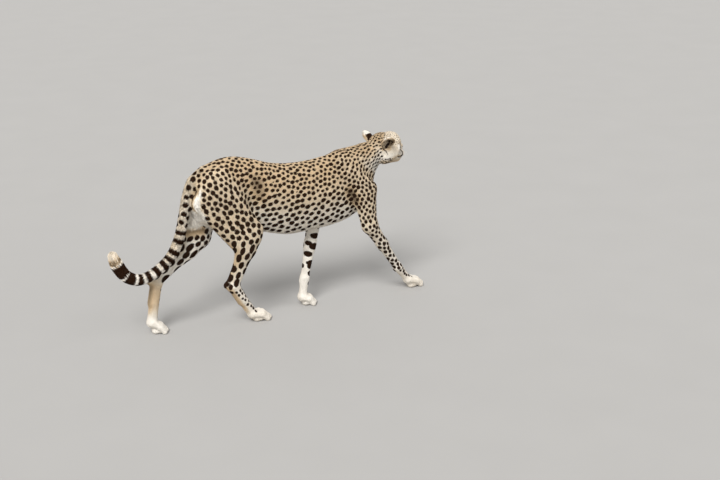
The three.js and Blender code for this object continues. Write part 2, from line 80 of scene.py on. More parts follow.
LEGS = {
    "hind_right": {"side": -1, "hip": (52, 50, 706), "knee": (200, 76, 462), "hock": (107, 62, 206),
                   "ball": (206, 46, 42), "toe": (290, 43, 15)},
    "hind_left": {"side": 1, "hip": (45, 50, 706), "knee": (-8, 74, 440), "hock": (-240, 56, 252),
                  "ball": (-277, 45, 58), "toe": (-214, 42, 15)},
    "fore_right": {"side": -1, "blade": (724, 36, 716), "shoulder": (840, 62, 588),
                   "elbow": (848, 74, 400), "wrist": (1027, 44, 136), "ball": (1099, 24, 48),
                   "toe": (1180, 12, 15)},
    "fore_left": {"side": 1, "blade": (700, 36, 716), "shoulder": (790, 62, 580),
                  "elbow": (603, 70, 420), "wrist": (530, 34, 140), "ball": (512, 24, 44),
                  "toe": (570, 18, 15)},
}
TOE_RADIUS, TOE_SPREAD, PAD_RADIUS, SOLE_DEPTH = 14.5, 19, 17, 3

TAIL_PATH = np.array([
    (0, 0, 790), (-48, 0, 742), (-83, 0, 664), (-106, 1, 575), (-130, 2, 482), (-172, 3, 398),
    (-230, 5, 343), (-300, 7, 306), (-348, 8, 303), (-400, 11, 333), (-438, 12, 396),
    (-453, 12, 438)], float)
TAIL_RADII = (22, 38, 34, 31, 31, 31, 31, 32, 33, 35, 36, 28)  # to the tips of the hair

HEAD_AT, HEAD_TURN, HEAD_NOD, HEAD_SCALE = np.array([963.0, 18, 766]), 15, 7, 1.08
EYE_AT, EYE_RADIUS = np.array([66.0, 33, 5]), 15.0  # in the head's own frame, as all the face is
GAZE_OUT, GAZE_UP, LID_TILT = 15, 2, 10  # degrees: where an eye looks, and how its slit leans
EAR_AT, EAR_HALF, EAR_WALL, EAR_SPLAY, EAR_BACK = (-31, 69, 38), (32, 22, 38), 6, 45, 18

# Hair: its length, how far its tips stand off the skin, and the spacing of the spots in it.
HAIR = {"trunk": 12, "neck": 13, "head": 3.2, "tail": 15, "leg": 12, "foot": 4.5, "ear": 13}
STAND = {"trunk": 1.5, "neck": 2, "head": 0.8, "tail": 3, "leg": 1.4, "foot": 0.5, "ear": 4}
APART = {"trunk": 31, "neck": 18.5, "head": 14, "tail": 31, "hind": 28, "fore": 24.5,
         "leg_top": 23.5, "shin": 19}
# The dusky end of the coat's warmth also serves as painted shade in folds and hollows.
CREAM, TAWNY, DUSKY = 0.05, 1.0, 1.67  # how warm the coat's colour is

# How deep the hide lies under the tips of the hair, part by part.
DEPTH = {"trunk": 4.0, "neck": 4.5, "head": 1.6, "tail": 8.0, "upper": 3.0, "lower": 2.0, "foot": 1.2}

# ======== The field ========


def length(v):
    return np.sqrt(np.einsum("...i,...i", v, v))


def smooth(low, high, value):
    """0 below low, 1 above high, and an easy slope between."""
    t = np.clip((value - low) / (high - low), 0, 1)
    return t * t * (3 - 2 * t)


def mix(a, b, t):
    return a + (b - a) * t


def to_left(p):
    """Places of both sides folded onto the left."""
    return p * (1, 0, 1) + np.abs(p) * (0, 1, 0)


def melt(a, b, reach):
    """The lesser of two fields, with the corner between them filled."""
    h = np.maximum(reach - np.abs(a - b), 0) / reach
    return np.minimum(a, b) - h * h * reach / 4


def carve(a, b, reach):
    """Field a with field b taken away, the edge between them rounded."""
    return -melt(-a, b, reach)


def flesh(start, end, start_radius, end_radius, wide=1.0):
    """Flesh from one joint to another, wide times as thick sideways."""
    start, run = np.array(start, float), np.subtract(end, start).astype(float)
    run2 = run @ run or 1.0

    def field(p):
        q = p - start
        t = np.clip(q @ run / run2, 0, 1)
        q = q - t[:, None] * run
        q[:, 1] /= wide
        return length(q) - (start_radius + (end_radius - start_radius) * t)

    return field


def egg(centre, half):
    centre, half = np.array(centre, float), np.array(half, float)

    def field(p):
        q = p - centre
        return length(q) * (1 - 1 / np.maximum(length(q / half), 1e-3))

    return field


def body(fields, reach):
    """Several fields melted into one."""

    def field(p):
        total = fields[0](p)
        for other in fields[1:]:
            total = melt(total, other(p), reach)
        return total

    return field


def near(field, points, margin, beyond=500.0):
    """The same field, worked out only within margin of a few points' box."""
    low, high = np.min(points, 0) - margin, np.max(points, 0) + margin

    def inner(p):
        value = np.full(len(p), beyond)
        close = ((p > low) & (p < high)).all(1)
        if close.any():
            value[close] = field(p[close])
        return value

    return inner


def stroke(start, end, radius, height):
    """How much a soft stroke from start to end lifts the surface, or presses it where below zero."""
    line = flesh(start, end, 0, 0)
    return near(lambda p: height * np.exp(-((line(p) / radius) ** 2)), [start, end], radius * 2.6, 0.0)


def follow(p, path):
    """The nearest place on a path: how far off, how far along, the way it runs there, the place."""
    off, at, way, place = np.full(len(p), 1e6), np.zeros(len(p)), np.zeros_like(p), np.zeros_like(p)
    before = 0.0
    for start, end in zip(path[:-1], path[1:]):
        run = end - start
        size = math.sqrt(run @ run)
        t = np.clip((p - start) @ run / size**2, 0, 1)
        spot = start + t[:, None] * run
        away = length(p - spot)
        closer = away < off
        off[closer], at[closer], place[closer] = away[closer], before + t[closer] * size, spot[closer]
        way[closer] = run / size
        before += size
    return off, at, way, place


def turned(degrees, axis):
    return np.array(Matrix.Rotation(math.radians(degrees), 3, axis))


# --- Trunk, neck and tail


def station(x, column):
    """One measure of the trunk at each x, eased through its stations."""
    xs, values = TRUNK[:, 0], TRUNK[:, column]
    slope = np.gradient(values, xs)
    slope[1:-1] = (values[2:] - values[:-2]) / (xs[2:] - xs[:-2])
    i = np.clip(np.searchsorted(xs, x) - 1, 0, len(xs) - 2)
    span = xs[i + 1] - xs[i]
    t = (x - xs[i]) / span
    rise = values[i + 1] - values[i]
    return values[i] + t * t * (3 - 2 * t) * rise + span * t * (1 - t) * (
        slope[i] * (1 - t) - slope[i + 1] * t)


def barrel(p):
    x, y, z = p.T
    cx = np.clip(x, TRUNK[0, 0], TRUNK[-1, 0])
    back, belly, half = (station(cx, column) for column in (1, 2, 3))
    tall, pz = (back - belly) / 2, z - (back + belly) / 2
    keel = 1 - RIB_KEEL * np.clip(-pz / tall, 0, 1)
    q = np.hypot(y / (half * keel), pz / tall)
    radial = np.hypot(y, pz) * (1 - 1 / np.maximum(q, 1e-3))
    beyond = np.abs(x - cx)
    outside = np.hypot(np.maximum(radial, 0), beyond) + np.minimum(radial, 0) * 0.2
    return np.where(beyond > 0, outside, radial)


def eased_path(points, steps):
    """Points at even steps of a smooth curve through the given ones (a centripetal spline)."""
    padded = np.vstack([2 * points[0] - points[1], points, 2 * points[-1] - points[-2]])
    out = []
    for at in np.linspace(0, len(points) - 1, steps + 1):
        i = min(int(at), len(points) - 2)
        t = at - i
        p0, p1, p2, p3 = padded[i:i + 4]
        d0, d1, d2 = (math.sqrt(length(b - a)) for a, b in ((p0, p1), (p1, p2), (p2, p3)))
        m1 = ((p1 - p0) / d0 - (p2 - p0) / (d0 + d1) + (p2 - p1) / d1) * d1
        m2 = ((p2 - p1) / d1 - (p3 - p1) / (d1 + d2) + (p3 - p2) / d2) * d1
        out.append(p1 + m1 * t + (3 * (p2 - p1) - 2 * m1 - m2) * t**2
                   + (2 * (p1 - p2) + m1 + m2) * t**3)
    return np.array(out)


TAIL_STEPS = 32
tail_line = eased_path(TAIL_PATH, TAIL_STEPS)
tail_run = np.concatenate([[0], np.cumsum(length(np.diff(tail_line, axis=0)))])
tail_thick = np.interp(np.linspace(0, len(TAIL_RADII) - 1, TAIL_STEPS + 1),
                       range(len(TAIL_RADII)), TAIL_RADII)


def tail(p):
    off, at, _, _ = follow(p * (1, 1 / 0.94, 1), tail_line * (1, 1 / 0.94, 1))
    return off - np.interp(at, tail_run, tail_thick)


# --- Legs


def foot(leg):
    """The four toes, the large pad and the middle of a foot."""
    ball, toe = leg["ball"], leg["toe"]
    heading = math.atan2(toe[1] - ball[1], toe[0] - ball[0])
    across = np.array([-math.sin(heading), math.cos(heading), 0])
    toes = []
    for n in (-1.5, -0.5, 0.5, 1.5):
        root = ball + across * n * TOE_SPREAD * 0.62
        tip = mix(ball, toe, 1 if abs(n) < 1 else 0.82) + across * n * TOE_SPREAD
        tip[2] = TOE_RADIUS - SOLE_DEPTH
        knuckle = mix(root, tip, 0.64)
        knuckle[2] = max(knuckle[2], TOE_RADIUS * 2.5)
        toes.append((root, knuckle, tip))
    pad, middle, web = (mix(ball, toe, t) for t in (0.22, 0.5, 0.75))
    pad[2], middle[2] = PAD_RADIUS - SOLE_DEPTH, TOE_RADIUS * 1.5
    web[2] = TOE_RADIUS - SOLE_DEPTH + 2
    return toes, pad, middle, web


def paw(leg):
    toes, pad, middle, web = foot(leg)
    r = TOE_RADIUS
    palm = body([flesh(leg["ball"], middle, 14 * 1.75, 14 * 1.15, 1.25),
                 flesh(pad, pad + (18, 0, 0), PAD_RADIUS, PAD_RADIUS, 1.4),
                 flesh(pad, web, 12.5, 12, 1.9)], 10)
    digits = [body([flesh(root, knuckle, r * 1.1, r * 1.08), flesh(knuckle, tip, r * 1.08, r)], 7)
              for root, knuckle, tip in toes]
    all_toes = body(digits, 3)
    return lambda p: melt(all_toes(p), palm(p), 7)


def deeper(field, depth):
    return lambda p: field(p) + depth


def hind_leg(leg):
    hip, knee, hock, ball, side = (leg[j] for j in ("hip", "knee", "hock", "ball", "side"))
    seat, heel, calf = np.array([-26, 52 * side, 650]), hock + (-34, 0, 14), mix(knee, hock, 0.36)
    upper = body([flesh(hip, mix(knee, hip, 0.12), 92, 56, 0.56),
                  flesh(hip + (45, 0, -30), knee + (4, 0, 20), 72, 48, 0.6),
                  flesh(seat, mix(knee, calf, 0.75), 56, 52, 0.72),
                  flesh(knee, knee + (6, 0, -14), 50, 46, 0.72)], 34)
    lower = body([flesh(knee, hock, 48, 25, 0.74),
                  flesh(knee + (-24, 0, -20), calf + (-16, 0, -20), 40, 34, 0.8),
                  flesh(calf + (-20, 0, -20), heel, 24, 12, 0.7), flesh(heel, hock, 15, 24, 0.85)], 20)
    shin = body([flesh(hock, mix(hock, ball, 0.5) + (-7, 0, 0), 29, 26, 0.82),
                 flesh(hock, ball, 25, 26, 0.85)], 12)
    return upper, lower, shin


def fore_leg(leg):
    blade, shoulder, elbow, wrist, ball = (
        leg[j] for j in ("blade", "shoulder", "elbow", "wrist", "ball"))
    point, spur = elbow + (-20, 0, 12), mix(wrist, ball, 0.12) + (-20, 0, -2)
    upper = body([flesh(blade, shoulder, 50, 44, 0.5), flesh(shoulder, elbow, 47, 38, 0.62),
                  flesh(mix(blade, shoulder, 0.35), point, 56, 24, 0.52)], 30)
    lower = body([flesh(elbow, mix(elbow, wrist, 0.45), 39, 30, 0.8),
                  flesh(mix(elbow, wrist, 0.4), wrist, 30, 22, 0.9),
                  flesh(point, elbow, 17, 30, 0.8)], 18)
    shin = body([flesh(wrist, mix(wrist, ball, 0.3), 23, 21), flesh(wrist, ball, 21, 22),
                 flesh(wrist, spur, 14, 9)], 12)
    return upper, lower, shin


def leg_field(leg):
    upper, lower, shin = leg["flesh"]
    end = paw(leg)

    def field(p):
        top = melt(upper(p) + DEPTH["upper"], lower(p) + DEPTH["lower"], 24)
        return melt(top, melt(shin(p) + DEPTH["lower"], end(p) + DEPTH["foot"], 12), 14)

    return near(field, leg["line"], 130)


for name, leg in LEGS.items():
    for joint, place in leg.items():
        if joint != "side":
            leg[joint] = np.array([place[0], place[1] * leg["side"], place[2]], float)
    hind = name.startswith("hind")
    names = ("hip", "knee", "hock") if hind else ("blade", "shoulder", "elbow", "wrist")
    leg["line"] = np.array([leg[j] for j in (*names, "ball", "toe")])
    leg["flesh"] = hind_leg(leg) if hind else fore_leg(leg)

# --- Head

HEAD_AXES = turned(HEAD_TURN, "Z") @ turned(HEAD_NOD, "Y")
EAR_AXES = turned(EAR_BACK, "Z") @ turned(-EAR_SPLAY, "X")


def in_head(p):
    return (p - HEAD_AT) @ HEAD_AXES / HEAD_SCALE


def from_head(q):
    return np.asarray(q) * HEAD_SCALE @ HEAD_AXES.T + HEAD_AT


def gaze_axes():
    """The left eye's own axes: the way it looks, out along its slit, and up."""
    look = turned(GAZE_OUT, "Z") @ turned(-GAZE_UP, "Y") @ np.array([1.0, 0, 0])
    up = np.array([0, 0, 1.0]) - look * look[2]
    up /= length(up)
    out = np.cross(up, look)
    lean = math.radians(LID_TILT)
    return np.stack([look, math.cos(lean) * out + math.sin(lean) * up,
                     math.cos(lean) * up - math.sin(lean) * out])


GAZE = gaze_axes()
SLIT_HALF, SLIT_OVER, SLIT_UNDER = 12.5, 8.4, 7.0  # half its length, and its height each way


def slit(q):
    """How far a place of the left eye's side is outside the opening of its lids."""
    look, out, up = ((q - EYE_AT) @ axis for axis in GAZE)
    over, under = ((SLIT_HALF**2 + h**2) / (2 * h) for h in (SLIT_OVER, SLIT_UNDER))
    arcs = np.maximum(np.hypot(out, up + over - SLIT_OVER) - over,
                      np.hypot(out, up - under + SLIT_UNDER) - under)
    return np.maximum(arcs, 2 - look)


MOUTH = np.array([(138, 0, -33), (129, 0, -37), (119, 0, -40), (106, 0, -44), (92, 0, -43),
                  (80, 0, -38)], float)
LIP_WIDE, LIP_DEEP, SPLIT_WIDE, SPLIT_DEEP = 1.9, 2.4, 1.4, 1.8  # the mouth, and the split above it
LID_THICK = 1.8  # how far the lids stand out over the ball
NOSE_HALF, NOSE_NARROWING, NOSE_TALL, NOSE_MIDDLE, NOSE_BACK = 17, 0.5, 11.5, -5.5, 106
# The dark line from the inner corner of the eye to the angle of the mouth, and the whiskers' roots.
TEAR_GUIDE = ((79, 21, 3), (90, 20, -6), (101, 22, -14), (109, 26, -22), (111, 28, -33),
              (105, 32, -44))
WHISKER_GUIDE = [(118 - 8 * column, 24 + 2.2 * column - 2 * row, -14 - 5.5 * row)
                 for row in range(4) for column in range(4)]
# The dark line down the edge of the ruff, from below the ear to the angle of the jaw.
RUFF_LINE = ((-47, 47, 22), (-37, 48, 9), (-19, 52, -6), (-10, 57, -20))


def beside(q, line):
    """How far off a line that is drawn on the face as seen from its side, its front end peaked."""
    peak = 6 * np.exp(-((q[:, 1] / 8) ** 2)) * smooth(105, 122, q[:, 0])
    return follow(np.stack([q[:, 0], 0 * peak, q[:, 2] - peak], 1), line)[0]


def nose_leather(q):
    """How far a place is outside the bare nose, which narrows towards the lip."""
    half = NOSE_HALF + NOSE_NARROWING * np.minimum(q[:, 2] - 2, 0)
    across = np.abs(q[:, 1]) / np.maximum(half, 4)
    up = np.abs(q[:, 2] - NOSE_MIDDLE) / NOSE_TALL
    return np.maximum(6 * (np.cbrt(across**3 + up**3) - 1), NOSE_BACK - q[:, 0])


skull = body([
    egg((-4, 0, 16), (66, 57, 59.5)), egg((50, 0, 33), (49, 48, 45)),
    *(egg((30, 38 * s, -14), (44, 27, 36)) for s in (1, -1)),
    *(egg((-2, 34 * s, -36), (40, 26, 30)) for s in (1, -1)),
    flesh((58, 0, 32), (122, 0, 2), 21, 15, 0.95),
    *(flesh((74, 14 * s, -22), (112, 14 * s, -27), 22, 19) for s in (1, -1)),
    *(flesh((62, 30 * s, 36), (84, 26 * s, 27), 14, 10) for s in (1, -1)),
    flesh((20, 0, -50), (101, 0, -50), 27, 22, 1.1)], 16)


def in_ear(m):
    return (m - EAR_AT) @ EAR_AXES


# Cheekbone, brow, hollow by the nose, furrow, temple, whisker pad, chin and nostril.
FACE_RELIEF = [stroke(*one) for one in (
    ((60, 46, -2), (8, 58, -4), 9, 2.0), ((84, 21, 22), (62, 42, 26), 6, 2.0),
    ((86, 13, 4), (96, 12, 0), 7, -2.5), ((50, 0, 76), (92, 0, 40), 6, -1.2),
    ((30, 48, 40), (0, 52, 34), 14, -2.5), ((92, 26, -30), (110, 22, -30), 9, 2.0),
    ((118, 0, -58), (96, 0, -64), 9, 1.5), ((133, 6, -7), (129, 13, -3), 3.6, -6.0))]


def face(p):
    """The head's field, with lids, nostrils, lips and ears."""
    q = in_head(p)
    m = to_left(q)
    total = skull(q) + DEPTH["head"]
    total = melt(total, flesh((119, 0, -3), (125, 0, -5), 14, 11, 1.2)(q), 5)
    for sculpted in FACE_RELIEF:
        total = total - sculpted(m)
    ball = m - EYE_AT
    total = melt(total, length(ball) - EYE_RADIUS - LID_THICK, 9)
    ahead = smooth(60, 70, m[:, 0])
    total = total + LIP_DEEP * ahead * np.exp(-((beside(q, MOUTH) / LIP_WIDE) ** 2))
    split = smooth(112, 120, m[:, 0]) * smooth(-32, -27, q[:, 2]) * smooth(-8, -14, q[:, 2])
    total = total + SPLIT_DEEP * split * np.exp(-((m[:, 1] / SPLIT_WIDE) ** 2))
    ear = in_ear(m)
    cup = np.maximum(egg((0, 0, 0), EAR_HALF)(ear), ear[:, 1])
    total = melt(total, cup, 7)
    hollow = egg((0, 3, 4), np.subtract(EAR_HALF, EAR_WALL))(ear)
    total = carve(total, hollow, 4)
    return carve(total, slit(m), 1.4) * HEAD_SCALE


# --- The whole

# How far the corners between parts are filled.
NECK_FILL, HEAD_FILL, LIMB_FILL = 50, 20, 26
PARTS = {
    "trunk": deeper(barrel, DEPTH["trunk"]),
    "neck": near(deeper(body([
        flesh(NECK_FROM, NECK_MID, 98, 68, 0.72),
        flesh(NECK_MID, HEAD_AT + (-22, -4, -2), 67, 57, 0.86),
        flesh((800, 0, 640), HEAD_AT + (-40, -4, -30), 66, 40, 0.8)], 40), DEPTH["neck"]),
        [NECK_FROM, HEAD_AT, (800, 0, 640)], 200),
    "head": near(face, [from_head((130, 0, -60)), from_head((-70, 100, 80)),
                        from_head((-70, -100, 80))], 90),
    "tail": near(deeper(tail, DEPTH["tail"]), TAIL_PATH, 100),
    **{name: leg_field(leg) for name, leg in LEGS.items()},
}

# Muscles, bones and hollows under the hide, given for the left side and the same on both: start,
# end, radius, height.
RELIEF = [stroke(*one) for one in (
    ((704, 42, 776), (812, 66, 624), 20, 4.0), ((664, 70, 772), (752, 84, 480), 20, -6.5),
    ((744, 88, 566), (772, 84, 500), 24, -7.0),
    ((800, 62, 752), (868, 56, 640), 18, -4.0), ((60, 0, 838), (690, 0, 778), 13, 3.0),
    ((60, 28, 832), (640, 34, 768), 16, -2.0), ((236, 76, 690), (206, 82, 590), 40, -11.0),
    ((300, 74, 470), (222, 82, 520), 22, 6.0), ((112, 52, 824), (70, 62, 800), 20, 4.0),
    ((-44, 44, 724), (-30, 54, 700), 18, 3.0), ((10, 88, 700), (110, 96, 540), 15, -2.5),
    ((560, 88, 720), (500, 90, 520), 10, -1.2), ((600, 88, 724), (540, 90, 520), 10, 1.2),
    ((640, 86, 726), (580, 90, 520), 10, -1.2), ((520, 88, 720), (460, 90, 520), 10, 1.2))]


def toe_gaps():
    """The clefts between the toes of all four feet."""
    clefts = []
    for leg in LEGS.values():
        toes, *_ = foot(leg)
        for one, other in zip(toes[:-1], toes[1:]):
            gap = [(a + b) / 2 + (0, 0, 5) for a, b in zip(one, other)]
            clefts.append(stroke(gap[1], gap[2] + (6, 0, 0), 4, -4.0))
    return clefts


CLEFTS = toe_gaps()


def flesh_field(p):
    """The whole hide: below zero inside."""
    total = melt(PARTS["trunk"](p), PARTS["neck"](p), NECK_FILL)
    total = melt(total, PARTS["head"](p), HEAD_FILL)
    for name in ("tail", *LEGS):
        total = melt(total, PARTS[name](p), LIMB_FILL)
    folded = to_left(p)
    for sculpted in RELIEF:
        total = total - sculpted(folded)
    for cleft in CLEFTS:
        total = total - cleft(p)
    return np.maximum(total, -p[:, 2])


# ======== Meshes ========

eye_low, eye_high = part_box("eye_right")
SHIFT = np.array((eye_low + eye_high) / 2) * 1000 - from_head(EYE_AT * (1, -1, 1))


def to_row(p):
    return (p + SHIFT) / 1000


def new_object(name, points, faces):
    """A mesh of points in millimetres and of faces that all have as many corners."""
    mesh = bpy.data.meshes.new(name)
    count, corners = faces.shape
    mesh.vertices.add(len(points))
    mesh.vertices.foreach_set("co", to_row(points).astype(np.float32).ravel())
    mesh.loops.add(count * corners)
    mesh.loops.foreach_set("vertex_index", faces.astype(np.int32).ravel())
    mesh.polygons.add(count)
    mesh.polygons.foreach_set("loop_start", np.arange(0, count * corners, corners, dtype=np.int32))
    mesh.polygons.foreach_set("use_smooth", np.ones(count, bool))
    mesh.update(calc_edges=True)
    made = bpy.data.objects.new(name, mesh)
    bpy.context.scene.collection.objects.link(made)
    return made


def move_points(mesh, points):
    mesh.vertices.foreach_set("co", to_row(points).astype(np.float32).ravel())
    mesh.update()


def points_of(mesh, normals=False):
    co = np.empty(len(mesh.vertices) * 3, np.float32)
    (mesh.vertex_normals if normals else mesh.vertices).foreach_get(
        "vector" if normals else "co", co)
    co = co.reshape(-1, 3).astype(float)
    return co if normals else co * 1000 - SHIFT


def set_values(mesh, name, values):
    mesh.attributes.new(name, "FLOAT", "POINT").data.foreach_set("value", values.astype(np.float32))


def drawn_surface(field, low, high, step):
    """The surface where field is zero, as quads: a corner in each cell of a grid that it crosses."""
    low = np.array(low, float)
    counts = np.ceil((np.array(high) - low) / step).astype(int) + 1
    coarse = 4
    rough_axes = [low[i] + step * coarse * np.arange(counts[i] // coarse + 2) for i in range(3)]
    rough = np.stack(np.meshgrid(*rough_axes, indexing="ij"), -1)
    rough_value = field(rough.reshape(-1, 3)).reshape(rough.shape[:3])
    nearest = [np.round(np.arange(n) / coarse).astype(int) for n in counts]
    value = rough_value[np.ix_(*nearest)]
    close = np.argwhere(np.abs(value) < step * coarse * 1.9)
    value[tuple(close.T)] = field(low + close * step)

    inside = value < 0
    cells = counts - 1
    corners = np.array([(i, j, k) for i in (0, 1) for j in (0, 1) for k in (0, 1)])
    within = sum(inside[i:i + cells[0], j:j + cells[1], k:k + cells[2]].astype(np.int8)
                 for i, j, k in corners)
    crossed = np.argwhere((within > 0) & (within < 8))
    number = np.full(cells, -1)
    number[tuple(crossed.T)] = np.arange(len(crossed))
    at_corner = np.stack([value[tuple((crossed + c).T)] for c in corners], 1)
    total, hits = np.zeros((len(crossed), 3)), np.zeros(len(crossed))
    for a in range(8):
        for b in range(a + 1, 8):
            if np.abs(corners[a] - corners[b]).sum() != 1:
                continue
            va, vb = at_corner[:, a], at_corner[:, b]
            cut = (va < 0) != (vb < 0)
            t = np.where(cut, va / np.where(cut, va - vb, 1), 0)
            total += cut[:, None] * (corners[a] + t[:, None] * (corners[b] - corners[a]))
            hits += cut
    points = low + step * (crossed + total / hits[:, None])

    quads = []
    for axis in range(3):
        along = np.eye(3, dtype=int)
        b, c = along[(axis + 1) % 3], along[(axis + 2) % 3]
        first = np.argwhere(np.diff(inside.astype(np.int8), axis=axis) != 0)
        ring = np.stack([number[tuple((first - d).T)] for d in (0 * b, b, b + c, c)], 1)
        leaving = inside[tuple(first.T)]
        ring[~leaving] = ring[~leaving][:, ::-1]
        quads.append(ring)
    return points, np.concatenate(quads)


def slope_of(field, p, step=0.4):
    value = field(p)
    rise = np.stack([field(p + step * axis) - value for axis in np.eye(3)], 1) / step
    return value, rise


def settled(p, field, rounds, target=0.0, most=3.0):
    """Points moved along the field's slope until they lie on its surface."""
    for _ in range(rounds):
        value, rise = slope_of(field, p)
        move = -rise * ((value - target) / np.maximum((rise**2).sum(1), 0.05))[:, None]
        p = p + move * np.minimum(1, most / np.maximum(length(move), 1e-6))[:, None]
    return p


def relaxed(p, edges, amount):
    """Points moved towards the middle of their neighbours."""
    a, b = np.concatenate([edges, edges[:, ::-1]]).T
    counts = np.maximum(np.bincount(a, minlength=len(p)), 1)
    middle = np.stack([np.bincount(a, p[b, i], len(p)) / counts for i in range(3)], 1)
    return p + (middle - p) * amount


def edges_of(mesh):
    pairs = np.empty(len(mesh.edges) * 2, np.int32)
    mesh.edges.foreach_get("vertices", pairs)
    return pairs.reshape(-1, 2)


def face_centres(mesh):
    centres = np.empty(len(mesh.polygons) * 3, np.float32)
    mesh.polygons.foreach_get("center", centres)
    return centres.reshape(-1, 3).astype(float) * 1000 - SHIFT


def subdivide_where(thing, chosen):
    """Cuts each chosen face in four, as by hand in edit mode."""
    bpy.context.view_layer.objects.active = thing
    bpy.context.tool_settings.mesh_select_mode = (False, False, True)
    bpy.ops.object.mode_set(mode="EDIT")
    bpy.ops.mesh.select_all(action="DESELECT")
    bpy.ops.object.mode_set(mode="OBJECT")
    thing.data.polygons.foreach_set("select", chosen)
    bpy.ops.object.mode_set(mode="EDIT")
    bpy.ops.mesh.subdivide(number_cuts=1, smoothness=0)
    bpy.ops.object.mode_set(mode="OBJECT")


# ======== The skin ========

SKIN_STEP, SKIN_LOW, SKIN_HIGH = 6.0, (-530, -140, -12), (1220, 140, 880)
points, quads = drawn_surface(flesh_field, SKIN_LOW, SKIN_HIGH, SKIN_STEP)
skin = new_object("skin", points, quads)
move_points(skin.data, settled(relaxed(points, edges_of(skin.data), 0.4), flesh_field, 1))


def head_and_feet(p):
    return (length(in_head(p) - (30, 0, 0)) < 112) | (p[:, 2] < 62)


def lids_and_nose(p):
    q = in_head(p)
    by_eye = length(to_left(q) - EYE_AT - (8, 2, 0)) < 25
    return by_eye | ((q[:, 0] > 100) & (length(q - (120, 0, -14)) < 36))


for finer in (head_and_feet, lids_and_nose):
    subdivide_where(skin, finer(face_centres(skin.data)))
    eased = relaxed(points_of(skin.data), edges_of(skin.data), 0.3)
    move_points(skin.data, settled(eased, flesh_field, 2))

skin_points = points_of(skin.data)
skin_normals = points_of(skin.data, normals=True)
head_points = in_head(skin_points)

# ======== Which part each place belongs to, and how its hair lies ========


def shares(p):
    """How much each part claims each place, from 0 to 1."""
    values = np.stack([np.minimum(field(p), 300) for field in PARTS.values()])
    claim = np.exp((values.min(0) - values) / 9)
    return dict(zip(PARTS, claim / claim.sum(0)))


def unit(v):
    return v / np.maximum(length(v), 1e-9)[:, None]


share = shares(skin_points)
on_head = share["head"]
head_x, _, head_z = head_points.T
folded = to_left(head_points)
nx, ny, nz = skin_normals.T
along_trunk = np.clip(skin_points[:, 0], TRUNK[0, 0], TRUNK[-1, 0])
back, belly = (station(along_trunk, column) for column in (1, 2))
height = np.clip((skin_points[:, 2] - belly) / (back - belly), 0, 1)  # 0 at the belly, 1 at the back
_, tail_at, tail_way, _ = follow(skin_points, tail_line)

lie = np.zeros_like(skin_points)
hair, stand, warm, spacing, bars = np.zeros((5, len(skin_points)))
bold = 1 + 0.04 * share["trunk"] - 0.02 * share["neck"]
oval = 1 + 0.45 * share["neck"]


def lay(claim, way, long, lift, tone, apart):
    """Adds one part's share of the coat: its lie, length, lift, tone and the spots' spacing."""
    for total, own in ((lie, way), (hair, long), (stand, lift), (warm, tone), (spacing, apart)):
        total += (claim * np.transpose(own)).T


def drooped(way, by):
    """A way the hair lies, turned down on the steep sides."""
    return unit(np.add(way, np.array([0, 0, -1.0]) * (by * (1 - np.abs(nz)))[:, None]))


def brow(q):
    """How far forward on the head, counted from a line that runs back on both sides."""
    return q[:, 0] + 1.1 * np.abs(q[:, 1])


lay(share["trunk"], drooped((-1.0, 0, 0), 0.35),
    long=HAIR["trunk"] + 7 * smooth(-0.35, -0.8, nz) + 2 * smooth(0.7, 0.95, nz),
    lift=STAND["trunk"] + 2.5 * smooth(-0.3, -0.8, nz),
    tone=0.2 + 0.8 * smooth(0.1, 0.85, height),
    apart=APART["trunk"] - 7 * smooth(0.35, 0.7, height) - 3.5 * smooth(0.85, 1.0, height))
lay(share["neck"], drooped(unit((NECK_FROM - HEAD_AT)[None]), 0.3),
    long=HAIR["neck"] + 6 * smooth(0.6, 0.95, nz) + 3 * smooth(-0.5, -0.9, nz),
    lift=STAND["neck"] + 1.5 * smooth(0.5, 0.9, nz),
    tone=0.06 + 0.98 * smooth(-0.35, 0.7, nz),
    apart=APART["neck"])
crown = smooth(14, 50, head_z) * smooth(24, 2, brow(head_points))
lay(on_head, unit(head_points - (150, 0, -14)) @ HEAD_AXES.T,
    long=HAIR["head"] + 6 * smooth(75, -40, head_x),
    lift=STAND["head"] + 0.8 * smooth(40, -30, head_x),
    # The last term is painted shade: the more the hide faces down, under the jaw and throat, the
    # duskier.
    tone=0.1 + 0.34 * smooth(-30, 15, head_z) + 0.65 * crown + 0.7 * smooth(0.0, -0.7, nz),
    apart=APART["head"] - 2.5 * smooth(6, 16, brow(head_points)))
lay(share["tail"], tail_way,
    long=HAIR["tail"] + 9 * smooth(500, 760, tail_at) - 10 * smooth(800, 822, tail_at),
    lift=STAND["tail"] + 3 * smooth(600, 780, tail_at),
    tone=(0.2 + 0.36 * smooth(-0.5, 0.6, nz)) * (1 - 0.75 * smooth(400, 600, tail_at))
    + (0.3 + 1.3 * smooth(803, 790, tail_at)) * smooth(771, 775, tail_at),
    apart=APART["tail"])

